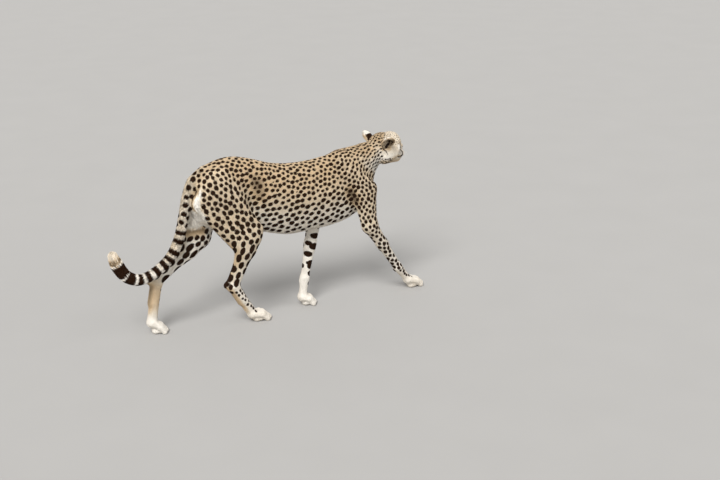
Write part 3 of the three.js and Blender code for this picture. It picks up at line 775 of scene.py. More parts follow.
# Down each leg, run goes from 0 at the hip or the top of the shoulder blade to 1 at the toes.
KNEE_RUN, WRIST_RUN, FOOT_RUN = 0.66, 0.75, 0.87
for name, leg in LEGS.items():
    _, at, way, _ = follow(skin_points, leg["line"])
    run = at / length(np.diff(leg["line"], axis=0)).sum()
    outer = smooth(-0.5, 0.5, ny * leg["side"])
    under_hock = smooth(0.6, 0.68, run)
    rear = smooth(0.1, 0.75, -nx - 0.6 * nz * under_hock)
    tone = mix(0.72, 0.2, smooth(0.15, 0.75, run)) * (0.25 + 0.75 * outer)
    hind = name.startswith("hind")
    joint_run = KNEE_RUN if hind else WRIST_RUN
    apart = mix(APART["hind" if hind else "fore"], APART["leg_top"], smooth(560, 690, skin_points[:, 2]))
    apart = mix(apart, APART["shin"], smooth(joint_run - 0.03, joint_run + 0.05, run))
    if hind:
        shank = smooth(0.34, 0.4, run) * smooth(0.7, 0.64, run)
        above_hock = smooth(0.72, 0.66, run)
        tone += (0.6 * smooth(0.36, 0.44, run) + 0.35 * under_hock) * rear * smooth(0.89, 0.8, run)
        # Painted shade on the inner side of the hock and the shin below it, less towards the rear.
        shaded_inner_hock = (1 - outer) * smooth(0.6, 0.73, run) * smooth(0.9, 0.76, run)
        tone += 0.85 * shaded_inner_hock * (1 - 0.5 * rear)
        apart = (apart + (2.5 + 4 * (1 - outer)) * shank) * (1 + (0.07 + 0.17 * shank) * above_hock)
        bold += share[name] * 0.12 * above_hock
        oval += 0.35 * share[name] * shank
    else:
        barred = share[name] * (1 - outer) * smooth(0.38, 0.46, run)
        apart = (apart * mix(0.92, 1.0, smooth(0.45, 0.55, run)) + 20 * barred) * (1 + 0.25 * barred)
        bold += 0.1 * (share[name] - barred)
        bars += barred
    lay(share[name], way, long=mix(HAIR["leg"], HAIR["foot"], smooth(0.1, 0.85, run)),
        lift=mix(STAND["leg"], STAND["foot"], smooth(0.1, 0.8, run)), tone=tone, apart=apart)
    front_outer = smooth(0.3, 0.7, skin_normals @ (0.87, 0.5 * leg["side"], 0))
    last_spots = mix(joint_run - 0.03 * hind * (1 - outer), FOOT_RUN, front_outer)
    leg["plain"] = share[name] * smooth(0, 0.05, run - last_spots)
    leg["paw"] = share[name] * smooth(0.86, 0.91, run)

# Long soft hair lines each ear and leans forward; the cheeks' is longer than the face's.
ear_place = in_ear(folded)
ear_shell = egg((0, 0, 0), EAR_HALF)(ear_place)
in_cup = (ear_shell < -1.5) & (ear_place[:, 1] < 16) & (on_head > 0.4)
side = np.sign(head_points[:, 1:2])
ear_forward = EAR_AXES[:, 0] * (1, 0, 1) + side * EAR_AXES[:, 0] * (0, 1, 0)
lie[in_cup] = (ear_forward @ HEAD_AXES.T)[in_cup] + (0, 0, 0.7)
hair[in_cup], stand[in_cup], warm[in_cup] = HAIR["ear"], STAND["ear"], 0.7
cheek = on_head * smooth(62, 30, head_x) * smooth(20, -20, head_z)
hair += 5 * cheek
stand += 2 * cheek

# Painted shade in the pit of the arm and in the fold before the thigh, drawn as duskier hair there.
for fold in (((738, 72, 600), (764, 74, 545), 24, 1.1), ((246, 66, 715), (262, 74, 640), 34, 0.6)):
    warm += stroke(*fold)(to_left(skin_points))

lie = unit(lie - skin_normals * (lie * skin_normals).sum(1)[:, None])

# ======== Markings ========


# White fringes down the buttocks' rear edges, and painted shade between them under the tail and on the
# inner thighs below.
skin_x, skin_y, skin_z = skin_points.T
inward = smooth(0.1, 0.5, -ny * np.sign(skin_y)) * smooth(20, 5, skin_x)
thighs = share["trunk"] + share["hind_right"] + share["hind_left"]
rear_edge = np.interp(skin_z, (560, 620, 700), (-16, -34, -34))
behind = thighs * smooth(10, -10, skin_x - rear_edge) * smooth(0.2, 0.5, -nx)
off_middle = np.maximum(smooth(55, 63, np.abs(skin_y)), smooth(624, 606, skin_z))
fringe = behind * smooth(738, 722, skin_z) * off_middle * smooth(500, 540, skin_z)
fringe = np.maximum(fringe, thighs * inward * smooth(495, 510, skin_z) * smooth(625, 605, skin_z))
shaded = thighs * np.maximum(behind * smooth(590, 620, skin_z), inward * smooth(430, 500, skin_z))
shaded *= smooth(735, 715, skin_z) * (1 - fringe)
warm = mix(warm, CREAM, fringe)
warm = mix(warm, 1.6, 0.9 * shaded)
hair = hair * (1 + 0.6 * fringe)
stand = stand + 2.5 * fringe

brow_line = brow(head_points)
plain_head = np.maximum.reduce([
    smooth(82, 92, head_x),  # the muzzle
    smooth(16, 24, brow_line) * smooth(30, 22, head_z) * smooth(-44, -36, head_z),  # round the eyes
    smooth(10, 4, head_z) * smooth(-34, -24, head_z),  # the cheeks
    smooth(10, 30, head_x) * smooth(0, -10, head_z),  # the jaws
    smooth(44, 36, length(folded - EAR_AT))])  # the ears
hide_spots = np.maximum.reduce([
    sum(leg["plain"] for leg in LEGS.values()), share["tail"] * smooth(35, 50, tail_at),
    on_head * plain_head, fringe, shaded, share["trunk"] * smooth(0.10, 0.03, height)])
spot_room = np.where(hide_spots > 0.5, 0, spacing)


class Sampler:
    """Draws random places on the skin's triangles, and reads what its corners carry."""

    def __init__(self, mesh):
        mesh.calc_loop_triangles()
        self.tris = np.empty(len(mesh.loop_triangles) * 3, np.int32)
        mesh.loop_triangles.foreach_get("vertices", self.tris)
        self.tris = self.tris.reshape(-1, 3)
        a, b, c = (skin_points[self.tris[:, i]] for i in range(3))
        self.area = length(np.cross(b - a, c - a)) / 2

    def draw(self, rng, weight, count):
        """count places, chosen by area times weight."""
        edge = np.cumsum(self.area * weight)
        which = np.searchsorted(edge, rng.random(count) * edge[-1])
        u, v = rng.random((2, count))
        over = u + v > 1
        u[over], v[over] = 1 - u[over], 1 - v[over]
        return which, np.stack([1 - u - v, u, v], 1)

    def read(self, drawn, values):
        which, parts = drawn
        corner = values[self.tris[which]]
        return np.einsum("ij,ij...->i...", parts, corner)


sampler = Sampler(skin.data)


def tree_of(places):
    tree = KDTree(len(places))
    for i, place in enumerate(places):
        tree.insert(place, i)
    tree.balance()
    return tree


# A spot's half width, a gap-filler's, and the least room between spots, out of their spacing.
SPOT_HALF, SMALL_HALF, LEAST_APART = 0.39, 0.15, 0.85
DRAWS, SPOT_DRAWS, SMALL_DRAWS = 60000, 54000, 4000
EVEN_ROUNDS, EVEN_APART, EVEN_REACH = 14, 1.06, 0.6  # how spots push each other apart, and how far
SAME_SIDE = -0.2  # two places whose outward ways agree by more than this are on one side of the body


def spread_out(places, out_ways, apart):
    """Evens the spots' spacing: each is pushed off its neighbours, a little way along the skin."""
    first = places.copy()
    wanted = EVEN_APART * apart
    for _ in range(EVEN_ROUNDS):
        tree = tree_of(places)
        push = np.zeros_like(places)
        for i, place in enumerate(places):
            for _, j, off in tree.find_range(place, wanted[i]):
                if j != i and out_ways[i] @ out_ways[j] > SAME_SIDE:
                    push[i] += (place - places[j]) * (0.25 * (wanted[i] / max(off, 1) - 1))
        moved = places + push - first
        kept_near = np.minimum(1, EVEN_REACH * apart / np.maximum(length(moved), 1e-6))
        places = settled(first + moved * kept_near[:, None], flesh_field, 2)
    return places


def scattered_spots():
    """Spots scattered at their own spacing, then smaller ones in the gaps between them.

    Gives their places, the ways they run, the ways they face, their half sizes and their stretch."""
    rng = np.random.default_rng(7)
    room = spot_room[sampler.tris].min(1)
    drawn = sampler.draw(rng, (room > 0) / np.maximum(room, 8) ** 2, DRAWS)
    places, ways, apart, barred, boldness, ovals = (
        sampler.read(drawn, v) for v in (skin_points, lie, spacing, bars, bold, oval))
    out_ways = unit(sampler.read(drawn, skin_normals))
    sizes = rng.uniform(0.85, 1.15, len(places))
    half = np.zeros(len(places))
    kept, cells, cell = [], {}, 40.0

    def cell_of(i):
        return tuple((places[i] // cell).astype(int))

    def place_spots(draws, half_share, clear_of):
        for i in draws:
            x, y, z = cell_of(i)
            crowd = [j for dx in (-1, 0, 1) for dy in (-1, 0, 1) for dz in (-1, 0, 1)
                     for j in cells.get((x + dx, y + dy, z + dz), ())]
            half[i] = apart[i] * half_share * sizes[i] * boldness[i]
            clear = clear_of(i)
            if not any(np.sqrt(((places[j] - places[i]) ** 2).sum()) < half[i] + half[j] + clear
                       and out_ways[j] @ out_ways[i] > SAME_SIDE for j in crowd):
                cells.setdefault((x, y, z), []).append(i)
                kept.append(i)

    place_spots(range(SPOT_DRAWS), SPOT_HALF,
                lambda i: LEAST_APART * apart[i] * sizes[i] - 2 * half[i])
    places[kept] = spread_out(places[kept], out_ways[kept], apart[kept])
    out_ways[kept] = unit(slope_of(flesh_field, places[kept])[1])
    cells.clear()
    for i in kept:
        cells.setdefault(cell_of(i), []).append(i)
    place_spots(range(SPOT_DRAWS, SPOT_DRAWS + SMALL_DRAWS), SMALL_HALF, lambda i: 0.12 * apart[i] + 2)
    longer = (1.0 + 0.35 * rng.random(len(kept))) * ovals[kept]
    longer = mix(longer, 0.6, np.clip(barred[kept], 0, 1))
    return places[kept], unit(ways[kept]), out_ways[kept], half[kept], longer


# Along the tail, from its root: rows of spots, then dark rings, each with its start and its end.
TAIL_SPOT_ROWS = np.arange(58, 284, 20.5)
RINGS_FROM = 290
BARE_AND_SHADE_UNDER_TAIL = (50, 628, 716, -34)  # its half width, lowest and highest place and front
RINGS = ((306, 328), (348, 371), (405, 430), (445, 469), (481, 507), (525, 552), (571, 598),
         (614, 641), (655, 699), (709, 772))


def tail_spots():
    """Pairs of spots on opposite sides of the tail's root, each pair turned from the last."""
    rng = np.random.default_rng(9)
    found = []
    for row, at in enumerate(TAIL_SPOT_ROWS):
        centre, ahead = (np.array([np.interp(at + step, tail_run, tail_line[:, i])
                                   for i in range(3)]) for step in (0, 5))
        way = (ahead - centre) / length(ahead - centre)
        up = np.cross(way, (0, 1, 0))
        for k in range(2):
            angle = math.pi * (k + 0.5 * (row % 2) + rng.uniform(-0.08, 0.08) + 0.2)
            out = np.array([0, 1.0, 0]) * math.cos(angle) + up * math.sin(angle)
            place = centre + way * rng.uniform(-4, 4) + out * np.interp(at, tail_run, tail_thick)
            found.append((*place, *way, *out, rng.uniform(13, 15.5), 1.1 - at / 900))
    found = np.array(found)
    return found[:, 0:3], found[:, 3:6], found[:, 6:9], found[:, 9], found[:, 10]


spots, spot_ways, spot_out, spot_half, spot_long = (
    np.concatenate(both) for both in zip(scattered_spots(), tail_spots()))
spot_tree = tree_of(spots)
TEAR = in_head(settled(from_head(TEAR_GUIDE), flesh_field, 5))
WHISKER_ROOTS = in_head(settled(from_head(WHISKER_GUIDE), flesh_field, 5))
FAR = 60.0  # stands for the depth of a mark at a place that it doesn't reach

# Half widths of the head's dark lines, half sizes of the patch on the ear's back, and the dark crescent
# of painted shade in its cup: half its width, where its middle is, and how long and tall the ring is
# that it follows.
TEAR_HALF, DOT_HALF, LIP_HALF, CLEFT_HALF, RUFF_HALF, RIM_HALF = 5.0, 1.5, 1.3, 1.2, 2.2, 2.9
PATCH_LONG, PATCH_TALL = 26, 15
CUP_SHADE_HALF, CUP_SHADE_AT, CUP_SHADE_LONG, CUP_SHADE_TALL = 5, -14, 24, 32


def nearest_spot(p, toward):
    """How far each place is outside the nearest spot of its own side of the body."""
    nearest = np.array([[n[1] for n in spot_tree.find_n(point, 3)] for point in p])
    best = np.full(len(p), FAR)
    for i in nearest.T:
        offset = p - spots[i]
        facing = (spot_out[i] * toward).sum(1)
        along = (offset * spot_ways[i]).sum(1)
        out = (offset * spot_out[i]).sum(1)
        across = np.sqrt(np.maximum((offset**2).sum(1) - along**2 - out**2, 0))
        stretch = np.sqrt(spot_long[i])
        away = np.sqrt((along / stretch) ** 2 + (across * stretch) ** 2 + (0.5 * out) ** 2)
        best = np.where(facing > SAME_SIDE, np.minimum(best, away - spot_half[i]), best)
    return best


def face_marks(q):
    """How far each place of the head is outside its lines and patches."""
    m = to_left(q)
    x, y, z = m.T
    tear_off, tear_at, _, _ = follow(m, TEAR)
    tear = tear_off - TEAR_HALF + 1.2 * smooth(0, 20, tear_at) - 1.0 * smooth(14, 40, tear_at)
    whisker_roots = length(m[:, None] - WHISKER_ROOTS).min(1) - DOT_HALF
    lip = np.where(x > 76, beside(q, MOUTH) - LIP_HALF - 1.2 * smooth(124, 96, x), FAR)
    cleft = np.where(x > 116, np.maximum(y - CLEFT_HALF, np.abs(z + 24) - 8), FAR)
    ruff = np.minimum.reduce([flesh(a, b, RUFF_HALF, RUFF_HALF)(m)
                              for a, b in zip(RUFF_LINE[:-1], RUFF_LINE[1:])])
    rim = np.where(length(m - EYE_AT) < EYE_RADIUS + 8, slit(m) - RIM_HALF, FAR)
    corner = flesh((61, 46, 8), (53, 52, 9), 2.6, 1.2)(m)
    ear_x, ear_y, ear_z = in_ear(m).T
    shell = egg((0, 0, 0), EAR_HALF)(in_ear(m))
    back_patch = np.where((ear_y < -2) & (np.abs(shell) < 9),
                          np.maximum(np.abs(ear_z + 6) - PATCH_TALL, np.abs(ear_x) - PATCH_LONG), FAR)
    # The dark crescent in the ear's cup is painted shade of its hollow.
    ring = np.hypot((ear_x - CUP_SHADE_AT) / CUP_SHADE_LONG, (ear_z + 6) / CUP_SHADE_TALL)
    cup_shade = CUP_SHADE_LONG * np.abs(ring - 1) - CUP_SHADE_HALF
    inside = np.where((ear_y < 14) & (shell < -2.0) & (ear_x > -18), cup_shade, FAR)
    return np.minimum.reduce([tear, lip, cleft, rim, corner, np.where(y > 20, ruff, FAR),
                              back_patch, inside, whisker_roots])


def spot_depth(p, toward):
    """How far each place is outside the nearest dark mark, below zero within it."""
    best = nearest_spot(p, toward)
    off, at, _, _ = follow(p, tail_line)
    on_tail = off < np.interp(at, tail_run, tail_thick) + 8
    open_below = 9 * smooth(0.6, 0.9, -toward[:, 2]) * smooth(640, 560, at)
    for start, end in RINGS:
        ring = np.maximum(start - at, at - end) + open_below
        best = np.where(on_tail & (at > RINGS_FROM), np.minimum(best, ring), best)

    # Bare dark skin under the tail's root, drawn as a dark mark that also paints the shade of the hollow
    # between tail and buttocks.
    x, y, z = p.T
    half, low, high, front = BARE_AND_SHADE_UNDER_TAIL
    bare_and_shade_under_tail = 0.5 + np.maximum.reduce([np.abs(y) - half, low - z, z - high, x - front])
    best = np.where(~on_tail & (toward[:, 0] < -0.1), np.minimum(best, bare_and_shade_under_tail), best)

    q = in_head(p)
    head_part = (length(q - (30, 0, 0)) < 125) & (q[:, 0] > -80)
    q = q[head_part]
    if len(q):
        fainter = 1.9 * smooth(10, 18, brow(q)) * smooth(10, 20, q[:, 2])  # on the forehead
        best[head_part] = np.minimum(best[head_part] + fainter, face_marks(q))
    return best


skin_spot = spot_depth(skin_points, skin_normals)
by_eye = length(folded - EYE_AT)
warm = np.clip(warm - 0.3 * on_head * smooth(30, 20, by_eye), 0, DUSKY)

# Each ear: pale at the tip of its back, tawny at the rim, and ahead of its opening tan fur made dusky
# with painted shade.
ear_x, ear_y, ear_z = ear_place.T
on_ear = on_head * (np.abs(ear_shell) < 9)
warm = warm * (1 - 0.8 * on_ear * smooth(4, 14, ear_z) * smooth(-3, -9, ear_y))
warm = mix(warm, TAWNY, 0.9 * on_ear * smooth(-9, -4, ear_y))
ear_front_fur_and_shade = on_head * smooth(1.15, 0.75, np.hypot((ear_x - 22) / 17, (ear_z + 5) / 36)) * smooth(
    32, 22, ear_y)
warm = mix(warm, 1.3, ear_front_fur_and_shade * (1 - smooth(-4, -9, ear_y) * (1 - in_cup)))

nose = on_head * smooth(1.0, -1.0, nose_leather(head_points))
lids = on_head * smooth(3.2, 1.8, slit(folded)) * (by_eye < 26)
pads = sum(leg["paw"] for leg in LEGS.values()) * smooth(-0.8, -0.95, nz)
# Nose, lids and pads are dark skin; the hide in each ear's cup is darkened as painted shade of its
# hollow.
bare = np.maximum.reduce([nose, lids, pads, 0.6 * in_cup])

for name, values in (("spot", skin_spot), ("warm", warm), ("bare", bare)):
    set_values(skin.data, name, values)

# ======== The coat ========

TUFT_FACES = np.array([(3, 2, 4), (2, 1, 4), (1, 3, 4), (2, 3, 0), (1, 2, 0), (3, 1, 0)])
TUFT_WIDE, TUFT_THICK, TUFT_MIDDLE = 0.19, 0.32, 0.42  # of its length, of its width, along it
TUFT_COVER, TUFT_AREA = 2.1, 0.62  # tufts over each place; a tuft's area out of length by width
TUFT_YAW, TUFT_ROOT = 0.20, 0.7  # how much their lie wavers, in radians; how deep a root sits
PATCH = 0.003  # how wide a tuft's place is on the coat's map
MOST_TUFTS = 33000  # on one piece


def unwrapped(p, path):
    """Each place on a map of its part: how far along its path, and how far round, from 0 to 1."""
    _, at, way, place = follow(p, path)
    side = unit(np.array([0, 1.0, 0]) - way * way[:, 1:2])
    up = np.cross(way, side)
    angle = np.arctan2(((p - place) * side).sum(1), ((p - place) * up).sum(1))
    return np.stack([at / at.max(), (angle - angle.min()) / np.ptp(angle)], 1)


def grow(name, claimed, path, seed):
    """Tufts over one part of the skin, as one mesh."""
    rng = np.random.default_rng(seed)
    tri_claim = claimed[sampler.tris].mean(1) > 0.5
    long = hair[sampler.tris].mean(1)
    bareness = np.where(in_cup, 0.42, bare)[sampler.tris].max(1)
    wide = np.clip(long * TUFT_WIDE, 1.3, 2.9)
    weight = tri_claim * (1 - smooth(0.2, 0.6, bareness)) * TUFT_COVER / (TUFT_AREA * long * wide)
    count = min(int((sampler.area * weight).sum()), MOST_TUFTS)
    drawn = sampler.draw(rng, weight, count)
    root, out, way = (sampler.read(drawn, v) for v in (skin_points, skin_normals, lie))
    long, lift, tone = (sampler.read(drawn, v) for v in (hair, stand, warm))

    # Which way each tuft lies, yawed a little from its neighbours, and its own size.
    out = unit(out)
    way = unit(way - out * (way * out).sum(1)[:, None])
    yaw = rng.normal(0, TUFT_YAW, count)[:, None]
    way = way * np.cos(yaw) + np.cross(out, way) * np.sin(yaw)
    across = np.cross(out, way)
    long = long * rng.uniform(0.72, 1.25, count)
    wide = np.clip(long * TUFT_WIDE, 1.2, 3.0) * rng.uniform(0.8, 1.2, count)
    rise = lift * rng.uniform(0.4, 1.3, count)
    thick = TUFT_THICK * wide

    # Its middle follows the skin close by, and its tip stands off by its rise.
    middle, tip = (root + way * (long * t)[:, None] for t in (TUFT_MIDDLE, 1.0))
    for place, wanted in ((middle, 0.25 * rise), (tip, rise)):
        place -= out * np.clip(flesh_field(place) - wanted, -4, 4)[:, None]
    low = out * (0.35 * thick)[:, None]
    half = across * (wide / 2)[:, None]
    points = np.stack([root - out * TUFT_ROOT, middle - half - low, middle + out * thick[:, None],
                       middle + half - low, tip], 1)
    points[:, :, 2] = np.maximum(points[:, :, 2], 0.3)
    tufts = new_object(name, points.reshape(-1, 3),
                       (np.arange(count)[:, None, None] * 5 + TUFT_FACES).reshape(-1, 3))
    mark = spot_depth(root + way * (0.45 * long)[:, None], out)
    for key, values in (("spot", mark), ("warm", tone), ("shade", rng.random(count))):
        set_values(tufts.data, key, np.repeat(values, 5))

    # Its own small diamond on the coat's map.
    place = 0.01 + 0.98 * unwrapped(root, path)
    diamond = np.array([(0, -1), (-1, 0), (0, 0), (1, 0), (0, 1)]) * PATCH / 2
    uv = (place[:, None, :] + diamond).reshape(-1, 2)
    corner = np.empty(len(tufts.data.loops), np.int32)
    tufts.data.loops.foreach_get("vertex_index", corner)
    coat_map = tufts.data.uv_layers.new(name="OFBake")
    coat_map.data.foreach_set("uv", uv[corner].astype(np.float32).ravel())
    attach(tufts, "root")
    return tufts


spine_line = np.stack([TRUNK[:, 0], 0 * TRUNK[:, 0], (TRUNK[:, 1] + TRUNK[:, 2]) / 2], 1)
neck_line = np.array([NECK_FROM, NECK_MID, HEAD_AT])
head_line = from_head([(-80, 0, 10), (140, 0, -10)])
right = skin_points[:, 1] < 0
strongest = np.stack(list(share.values())).argmax(0)
owner = {name: strongest == i for i, name in enumerate(share)}
hairs = [
    grow("coat_flank_right", owner["trunk"] & right, spine_line, 11),
    grow("coat_flank_left", owner["trunk"] & ~right, spine_line, 12),
    grow("coat_neck", owner["neck"], neck_line, 13),
    grow("coat_head", owner["head"], head_line, 14),
    grow("coat_tail", owner["tail"], tail_line, 15),
]
for n, (name, leg) in enumerate(LEGS.items()):
    hairs.append(grow("coat_" + name, owner[name], leg["line"], 20 + n))

# ======== Eyes and whiskers ========


def face_outward(thing):
    bpy.ops.object.select_all(action="DESELECT")
    bpy.context.view_layer.objects.active = thing
    bpy.ops.object.mode_set(mode="EDIT")
    bpy.ops.mesh.select_all(action="SELECT")
    bpy.ops.mesh.normals_make_consistent(inside=False)
    bpy.ops.object.mode_set(mode="OBJECT")


def eyeball(side, name):
    """A ball with its cornea raised, its pole turned the way it looks."""
    bpy.ops.mesh.primitive_uv_sphere_add(segments=48, ring_count=32, radius=EYE_RADIUS)
    ball = bpy.context.active_object
    ball.name = name
    bpy.ops.object.shade_smooth()
    co = np.empty(len(ball.data.vertices) * 3, np.float32)
    ball.data.vertices.foreach_get("co", co)
    co = co.reshape(-1, 3).astype(float)
    off_axis = np.degrees(np.arccos(np.clip(co[:, 2] / EYE_RADIUS, -1, 1)))
    spin = np.arctan2(co[:, 1], co[:, 0])
    co *= (1 + 0.05 * smooth(48, 30, off_axis))[:, None]
    local = co[:, 2:3] * GAZE[0] + co[:, 0:1] * GAZE[1] + co[:, 1:2] * GAZE[2]
    placed = from_head((local + EYE_AT) * (1, side, 1))
    move_points(ball.data, placed)
    face_outward(ball)
    set_values(ball.data, "ring", off_axis)
    set_values(ball.data, "spoke", spin)
    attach(ball, "root")
    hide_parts(name.replace("eyeball", "eye"))
    return ball


eyes = [eyeball(1, "eyeball_left"), eyeball(-1, "eyeball_right")]


def whiskers():
    """Fine bristles from the muzzle's pads: four rows on each side, bent back and down."""
    rng = np.random.default_rng(5)
    sides, steps = 4, 7
    thick, long, longer_behind = 0.26, 34, 9
    sag = np.array([-9, 0, -8])
    points, faces = [], []
    for side in (1, -1):
        for row in range(4):
            for column in range(4):
                root = WHISKER_ROOTS[4 * row + column] * (1, side, 1)
                reach = long + longer_behind * column + rng.uniform(-6, 6)
                way = np.array([0.35 - 0.28 * column, side * 1.0, 0.1 - 0.14 * row])
                way /= length(way)
                start = sum(len(ring) for ring in points)
                for s in range(steps + 1):
                    t = s / steps
                    centre = root - way * 1.5 + way * reach * t + sag * t * t
                    radius = thick * (1 - 0.8 * t)
                    ring = [centre + radius * np.array([math.cos(x), 0, side * math.sin(x)])
                            for x in np.arange(sides) * 2 * math.pi / sides]
                    points.append(from_head(np.array(ring)))
                    if s:
                        o = start + (s - 1) * sides
                        faces += [(o + k, o + (k + 1) % sides, o + sides + (k + 1) % sides,
                                   o + sides + k) for k in range(sides)]
                for o, order in ((start, (0, 3, 2, 1)), (start + steps * sides, (0, 1, 2, 3))):
                    faces.append(tuple(o + k for k in order))
    made = new_object("whiskers", np.concatenate(points), np.array(faces))
    face_outward(made)
    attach(made, "root")
    return made


bristles = whiskers()

# ======== Finishes ========


def colour(code):
    """A hex colour as shown on a screen, turned to linear light."""
    parts = [int(code[i:i + 2], 16) / 255 for i in (1, 3, 5)]
    return (*(c / 12.92 if c <= 0.04045 else ((c + 0.055) / 1.055) ** 2.4 for c in parts), 1)


def add_node(tree, kind, inputs=(), **settings):
    """One node with its own settings, its inputs given as values or as other nodes' outputs."""
    made = tree.nodes.new("ShaderNode" + kind)
    for key, value in settings.items():
        setattr(made, key, value)
    for key, value in dict(inputs).items():
        if isinstance(value, bpy.types.NodeSocket):
            tree.links.new(value, made.inputs[key])
        else:
            made.inputs[key].default_value = value
    return made


def new_finish(name, roughness, specular=0.5):
    """An empty material and its shader, with its constants."""
    made = bpy.data.materials.new(name)
    made.use_nodes = True
    shader = made.node_tree.nodes["Principled BSDF"]
    shader.inputs["Roughness"].default_value = roughness
    shader.inputs["Specular IOR Level"].default_value = specular
    return made, made.node_tree, shader


def set_stops(ramp, stops):
    """A ramp's colours, each with its place along it."""
    while len(ramp.color_ramp.elements) < len(stops):
        ramp.color_ramp.elements.new(0.5)
    for element, (at, code) in zip(ramp.color_ramp.elements, stops):
        element.position, element.color = at, colour(code)


def scale_of(size):
    """The scale of a pattern whose features are size millimetres apart, on metres."""
    return 1000 / size


# Millimetres between the features of each pattern, and how far a spot's outline wavers.
TONE_DRIFT, EDGE_WAVES, EDGE_REACH, HAIR_CLUMPS = 71.43, 13.333, 6.5, 3.03
HORN_LAYERS, BRISTLE_TINTS, FLOOR_MOTTLE = 3.846, 8.333, 333.3
WARM_TO_RAMP = 0.6  # takes the coat's warmth, cream to dusky, to its place along the ramp


def coat_colour(tree):
    """Tawny above to cream below, with dark spots: the same on hide and hair."""
    place = add_node(tree, "TexCoord").outputs["Object"]
    warmth = add_node(tree, "Attribute", attribute_name="warm").outputs["Fac"]
    cloud = add_node(tree, "TexNoise", {"Vector": place, "Scale": scale_of(TONE_DRIFT), "Detail": 3})
    drift = add_node(tree, "Math", {0: cloud.outputs["Fac"], 1: 0.24, 2: -0.12},
                     operation="MULTIPLY_ADD")
    level = add_node(tree, "Math", {0: warmth, 1: drift.outputs[0]}, operation="ADD")
    eased = add_node(tree, "Math", {0: level.outputs[0], 1: WARM_TO_RAMP}, operation="MULTIPLY")
    ramp = add_node(tree, "ValToRGB", {"Fac": eased.outputs[0]})
    set_stops(ramp, ((0.0, "#f5f0e7"), (0.18, "#e9dfcf"), (0.36, "#dccbb1"), (0.62, "#d3ba97"),
                     (1.0, "#7f6d56")))
    # Hairs reach a few millimetres over each spot's edge, so its outline wavers by that much.
    edge = add_node(tree, "TexNoise", {"Vector": place, "Scale": scale_of(EDGE_WAVES), "Detail": 2})
    waver = add_node(tree, "Math", {0: edge.outputs["Fac"], 1: EDGE_REACH, 2: -EDGE_REACH / 2},
                     operation="MULTIPLY_ADD")
    depth = add_node(tree, "Attribute", attribute_name="spot").outputs["Fac"]
    edge_at = add_node(tree, "Math", {0: depth, 1: waver.outputs[0]}, operation="ADD")
    dark = add_node(tree, "MapRange", {"Value": edge_at.outputs[0], "From Min": 1.2,
                                       "From Max": -1.2}, interpolation_type="SMOOTHSTEP")
    both = add_node(tree, "Mix", {0: dark.outputs[0], 6: ramp.outputs[0], 7: colour("#2a1606")},
                    data_type="RGBA")
    return both.outputs[2], place


def hide_finish():
    # Hide under short flat fur: dull, with a fine grain along the body.
    made, tree, shader = new_finish("hide_under_short_fur", 0.85, 0.25)
    coat, place = coat_colour(tree)
    bare_part = add_node(tree, "Attribute", attribute_name="bare").outputs["Fac"]
    skin_tone = add_node(tree, "Mix", {0: bare_part, 6: coat, 7: colour("#1f1916")}, data_type="RGBA")
    tree.links.new(skin_tone.outputs[2], shader.inputs["Base Color"])
    gloss = add_node(tree, "MapRange", {"Value": bare_part, "To Min": 0.85, "To Max": 0.42})
    tree.links.new(gloss.outputs[0], shader.inputs["Roughness"])
    # Hairs are 0.05 mm thick, too fine to draw, so clumps of them show as grain about 3 mm apart.
    grain = add_node(tree, "TexNoise", {"Vector": place, "Scale": scale_of(HAIR_CLUMPS), "Detail": 3})
    relief = add_node(tree, "Bump", {"Height": grain.outputs["Fac"], "Strength": 0.6,
                                     "Distance": 0.0012})
    tree.links.new(relief.outputs[0], shader.inputs["Normal"])
    return made


def hair_finish():
    # Short stiff guard hair: dull, each tuft a little lighter or darker than the next.
    made, tree, shader = new_finish("short_guard_hair", 0.75, 0.1)
    coat, _ = coat_colour(tree)
    shade = add_node(tree, "Attribute", attribute_name="shade").outputs["Fac"]
    level = add_node(tree, "MapRange", {"Value": shade, "To Min": 0.84, "To Max": 1.14})
    toned = add_node(tree, "HueSaturation", {"Color": coat, "Value": level.outputs[0]})
    tree.links.new(toned.outputs[0], shader.inputs["Base Color"])
    return made


def eye_finish():
    # A wet cornea over an amber iris with a round pupil.
    made, tree, shader = new_finish("wet_eye", 0.08, 0.3)
    ring = add_node(tree, "Attribute", attribute_name="ring").outputs["Fac"]
    spoke = add_node(tree, "Attribute", attribute_name="spoke").outputs["Fac"]
    around_iris = add_node(tree, "CombineXYZ", {"X": spoke, "Y": ring})
    streaks = add_node(tree, "TexNoise", {"Vector": around_iris.outputs[0], "Scale": 6})
    wander = add_node(tree, "Math", {0: streaks.outputs["Fac"], 1: 8, 2: -4},
                      operation="MULTIPLY_ADD")
    at = add_node(tree, "Math", {0: ring, 1: wander.outputs[0]}, operation="ADD")
    span = add_node(tree, "Math", {0: at.outputs[0], 1: 90}, operation="DIVIDE")
    ramp = add_node(tree, "ValToRGB", {"Fac": span.outputs[0]})
    set_stops(ramp, ((0.18, "#050403"), (0.21, "#6b3a0d"), (0.34, "#b8741f"), (0.47, "#8a4a12"),
                     (0.52, "#1a100a"), (0.62, "#4a3a2c")))
    tree.links.new(ramp.outputs[0], shader.inputs["Base Color"])
    return made


def mottled_finish(name, size, one, other, roughness, detail=2.0):
    """A material whose colour drifts between two tones, size millimetres apart."""
    made, tree, shader = new_finish(name, roughness)
    place = add_node(tree, "TexCoord").outputs["Object"]
    drift = add_node(tree, "TexNoise", {"Vector": place, "Scale": scale_of(size), "Detail": detail})
    tone = add_node(tree, "Mix", {0: drift.outputs["Fac"], 6: colour(one), 7: colour(other)},
                    data_type="RGBA")
    tree.links.new(tone.outputs[2], shader.inputs["Base Color"])
    return made


# Claw horn: grown in layers, dark and slightly polished by walking.
horn = mottled_finish("claw_horn", HORN_LAYERS, "#1e1815", "#4a3d33", 0.38)
# White whisker: a smooth stiff hair, its tone drifting along its length.
bristle = mottled_finish("whisker_bristle", BRISTLE_TINTS, "#efe9dd", "#cfc4b0", 0.45)
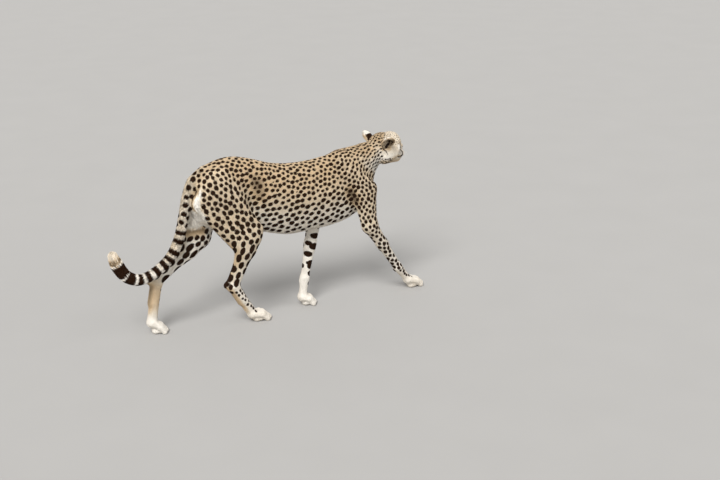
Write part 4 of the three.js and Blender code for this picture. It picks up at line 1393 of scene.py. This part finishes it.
# Plain pale matt floor.
pale_floor = mottled_finish("pale_floor", FLOOR_MOTTLE, "#a8a6a3", "#acaaa7", 0.95)
skin.data.materials.append(hide_finish())
guard_hair = hair_finish()
for tufts in hairs:
    tufts.data.materials.append(guard_hair)
wet_eye = eye_finish()
for ball in eyes:
    ball.data.materials.append(wet_eye)
bristles.data.materials.append(bristle)
flesh_nodes = []
for name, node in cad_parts.items():
    if name.startswith("claw"):
        node.data.materials.clear()
        node.data.materials.append(horn)
    elif not name.startswith("eye"):
        flesh_nodes.append(name)

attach(skin, "root")
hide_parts(*flesh_nodes)

# ======== Floor, light and camera ========

bpy.ops.mesh.primitive_plane_add(size=60, location=(0, 0, 0))
floor = bpy.context.active_object
floor.name = "floor"
floor.data.materials.append(pale_floor)
floor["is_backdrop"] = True


def add_light(name, from_way, spread, strength):
    """A large soft light far off: the way towards it, how many degrees wide it is, and how strong."""
    lamp = bpy.data.lights.new(name, "SUN")
    lamp.angle, lamp.energy = math.radians(spread), strength
    holder = bpy.data.objects.new(name, lamp)
    bpy.context.scene.collection.objects.link(holder)
    holder.rotation_euler = Vector(from_way).to_track_quat("Z", "Y").to_euler()


add_light("key", (-0.62, -0.62, 1.0), 26, 3.0)
add_light("fill", (0.9, -0.9, 0.7), 60, 0.4)
world = bpy.data.worlds.new("studio")
bpy.context.scene.world = world
world.use_nodes = True
world.node_tree.nodes["Background"].inputs["Color"].default_value = colour("#ffffff")
world.node_tree.nodes["Background"].inputs["Strength"].default_value = 0.6

# Seen from behind on its right, about 6 m off, looking 20 degrees down.
VIEW_FROM = np.array([-1883.3, -5072.4, 2396.2])
LOOK = Vector((0.4432, 0.8286, -0.3420))
camera = bpy.data.objects.new("camera", bpy.data.cameras.new("camera"))
bpy.context.scene.collection.objects.link(camera)
camera.location = to_row(VIEW_FROM)
camera.rotation_euler = LOOK.to_track_quat("-Z", "Y").to_euler()
camera.data.lens, camera.data.sensor_width = 60, 36
bpy.context.scene.camera = camera
bpy.context.scene.view_settings.view_transform = "Standard"

new_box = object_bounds()
[[[float(c) for c in corner] for corner in box] for box in (cad_box, new_box)]
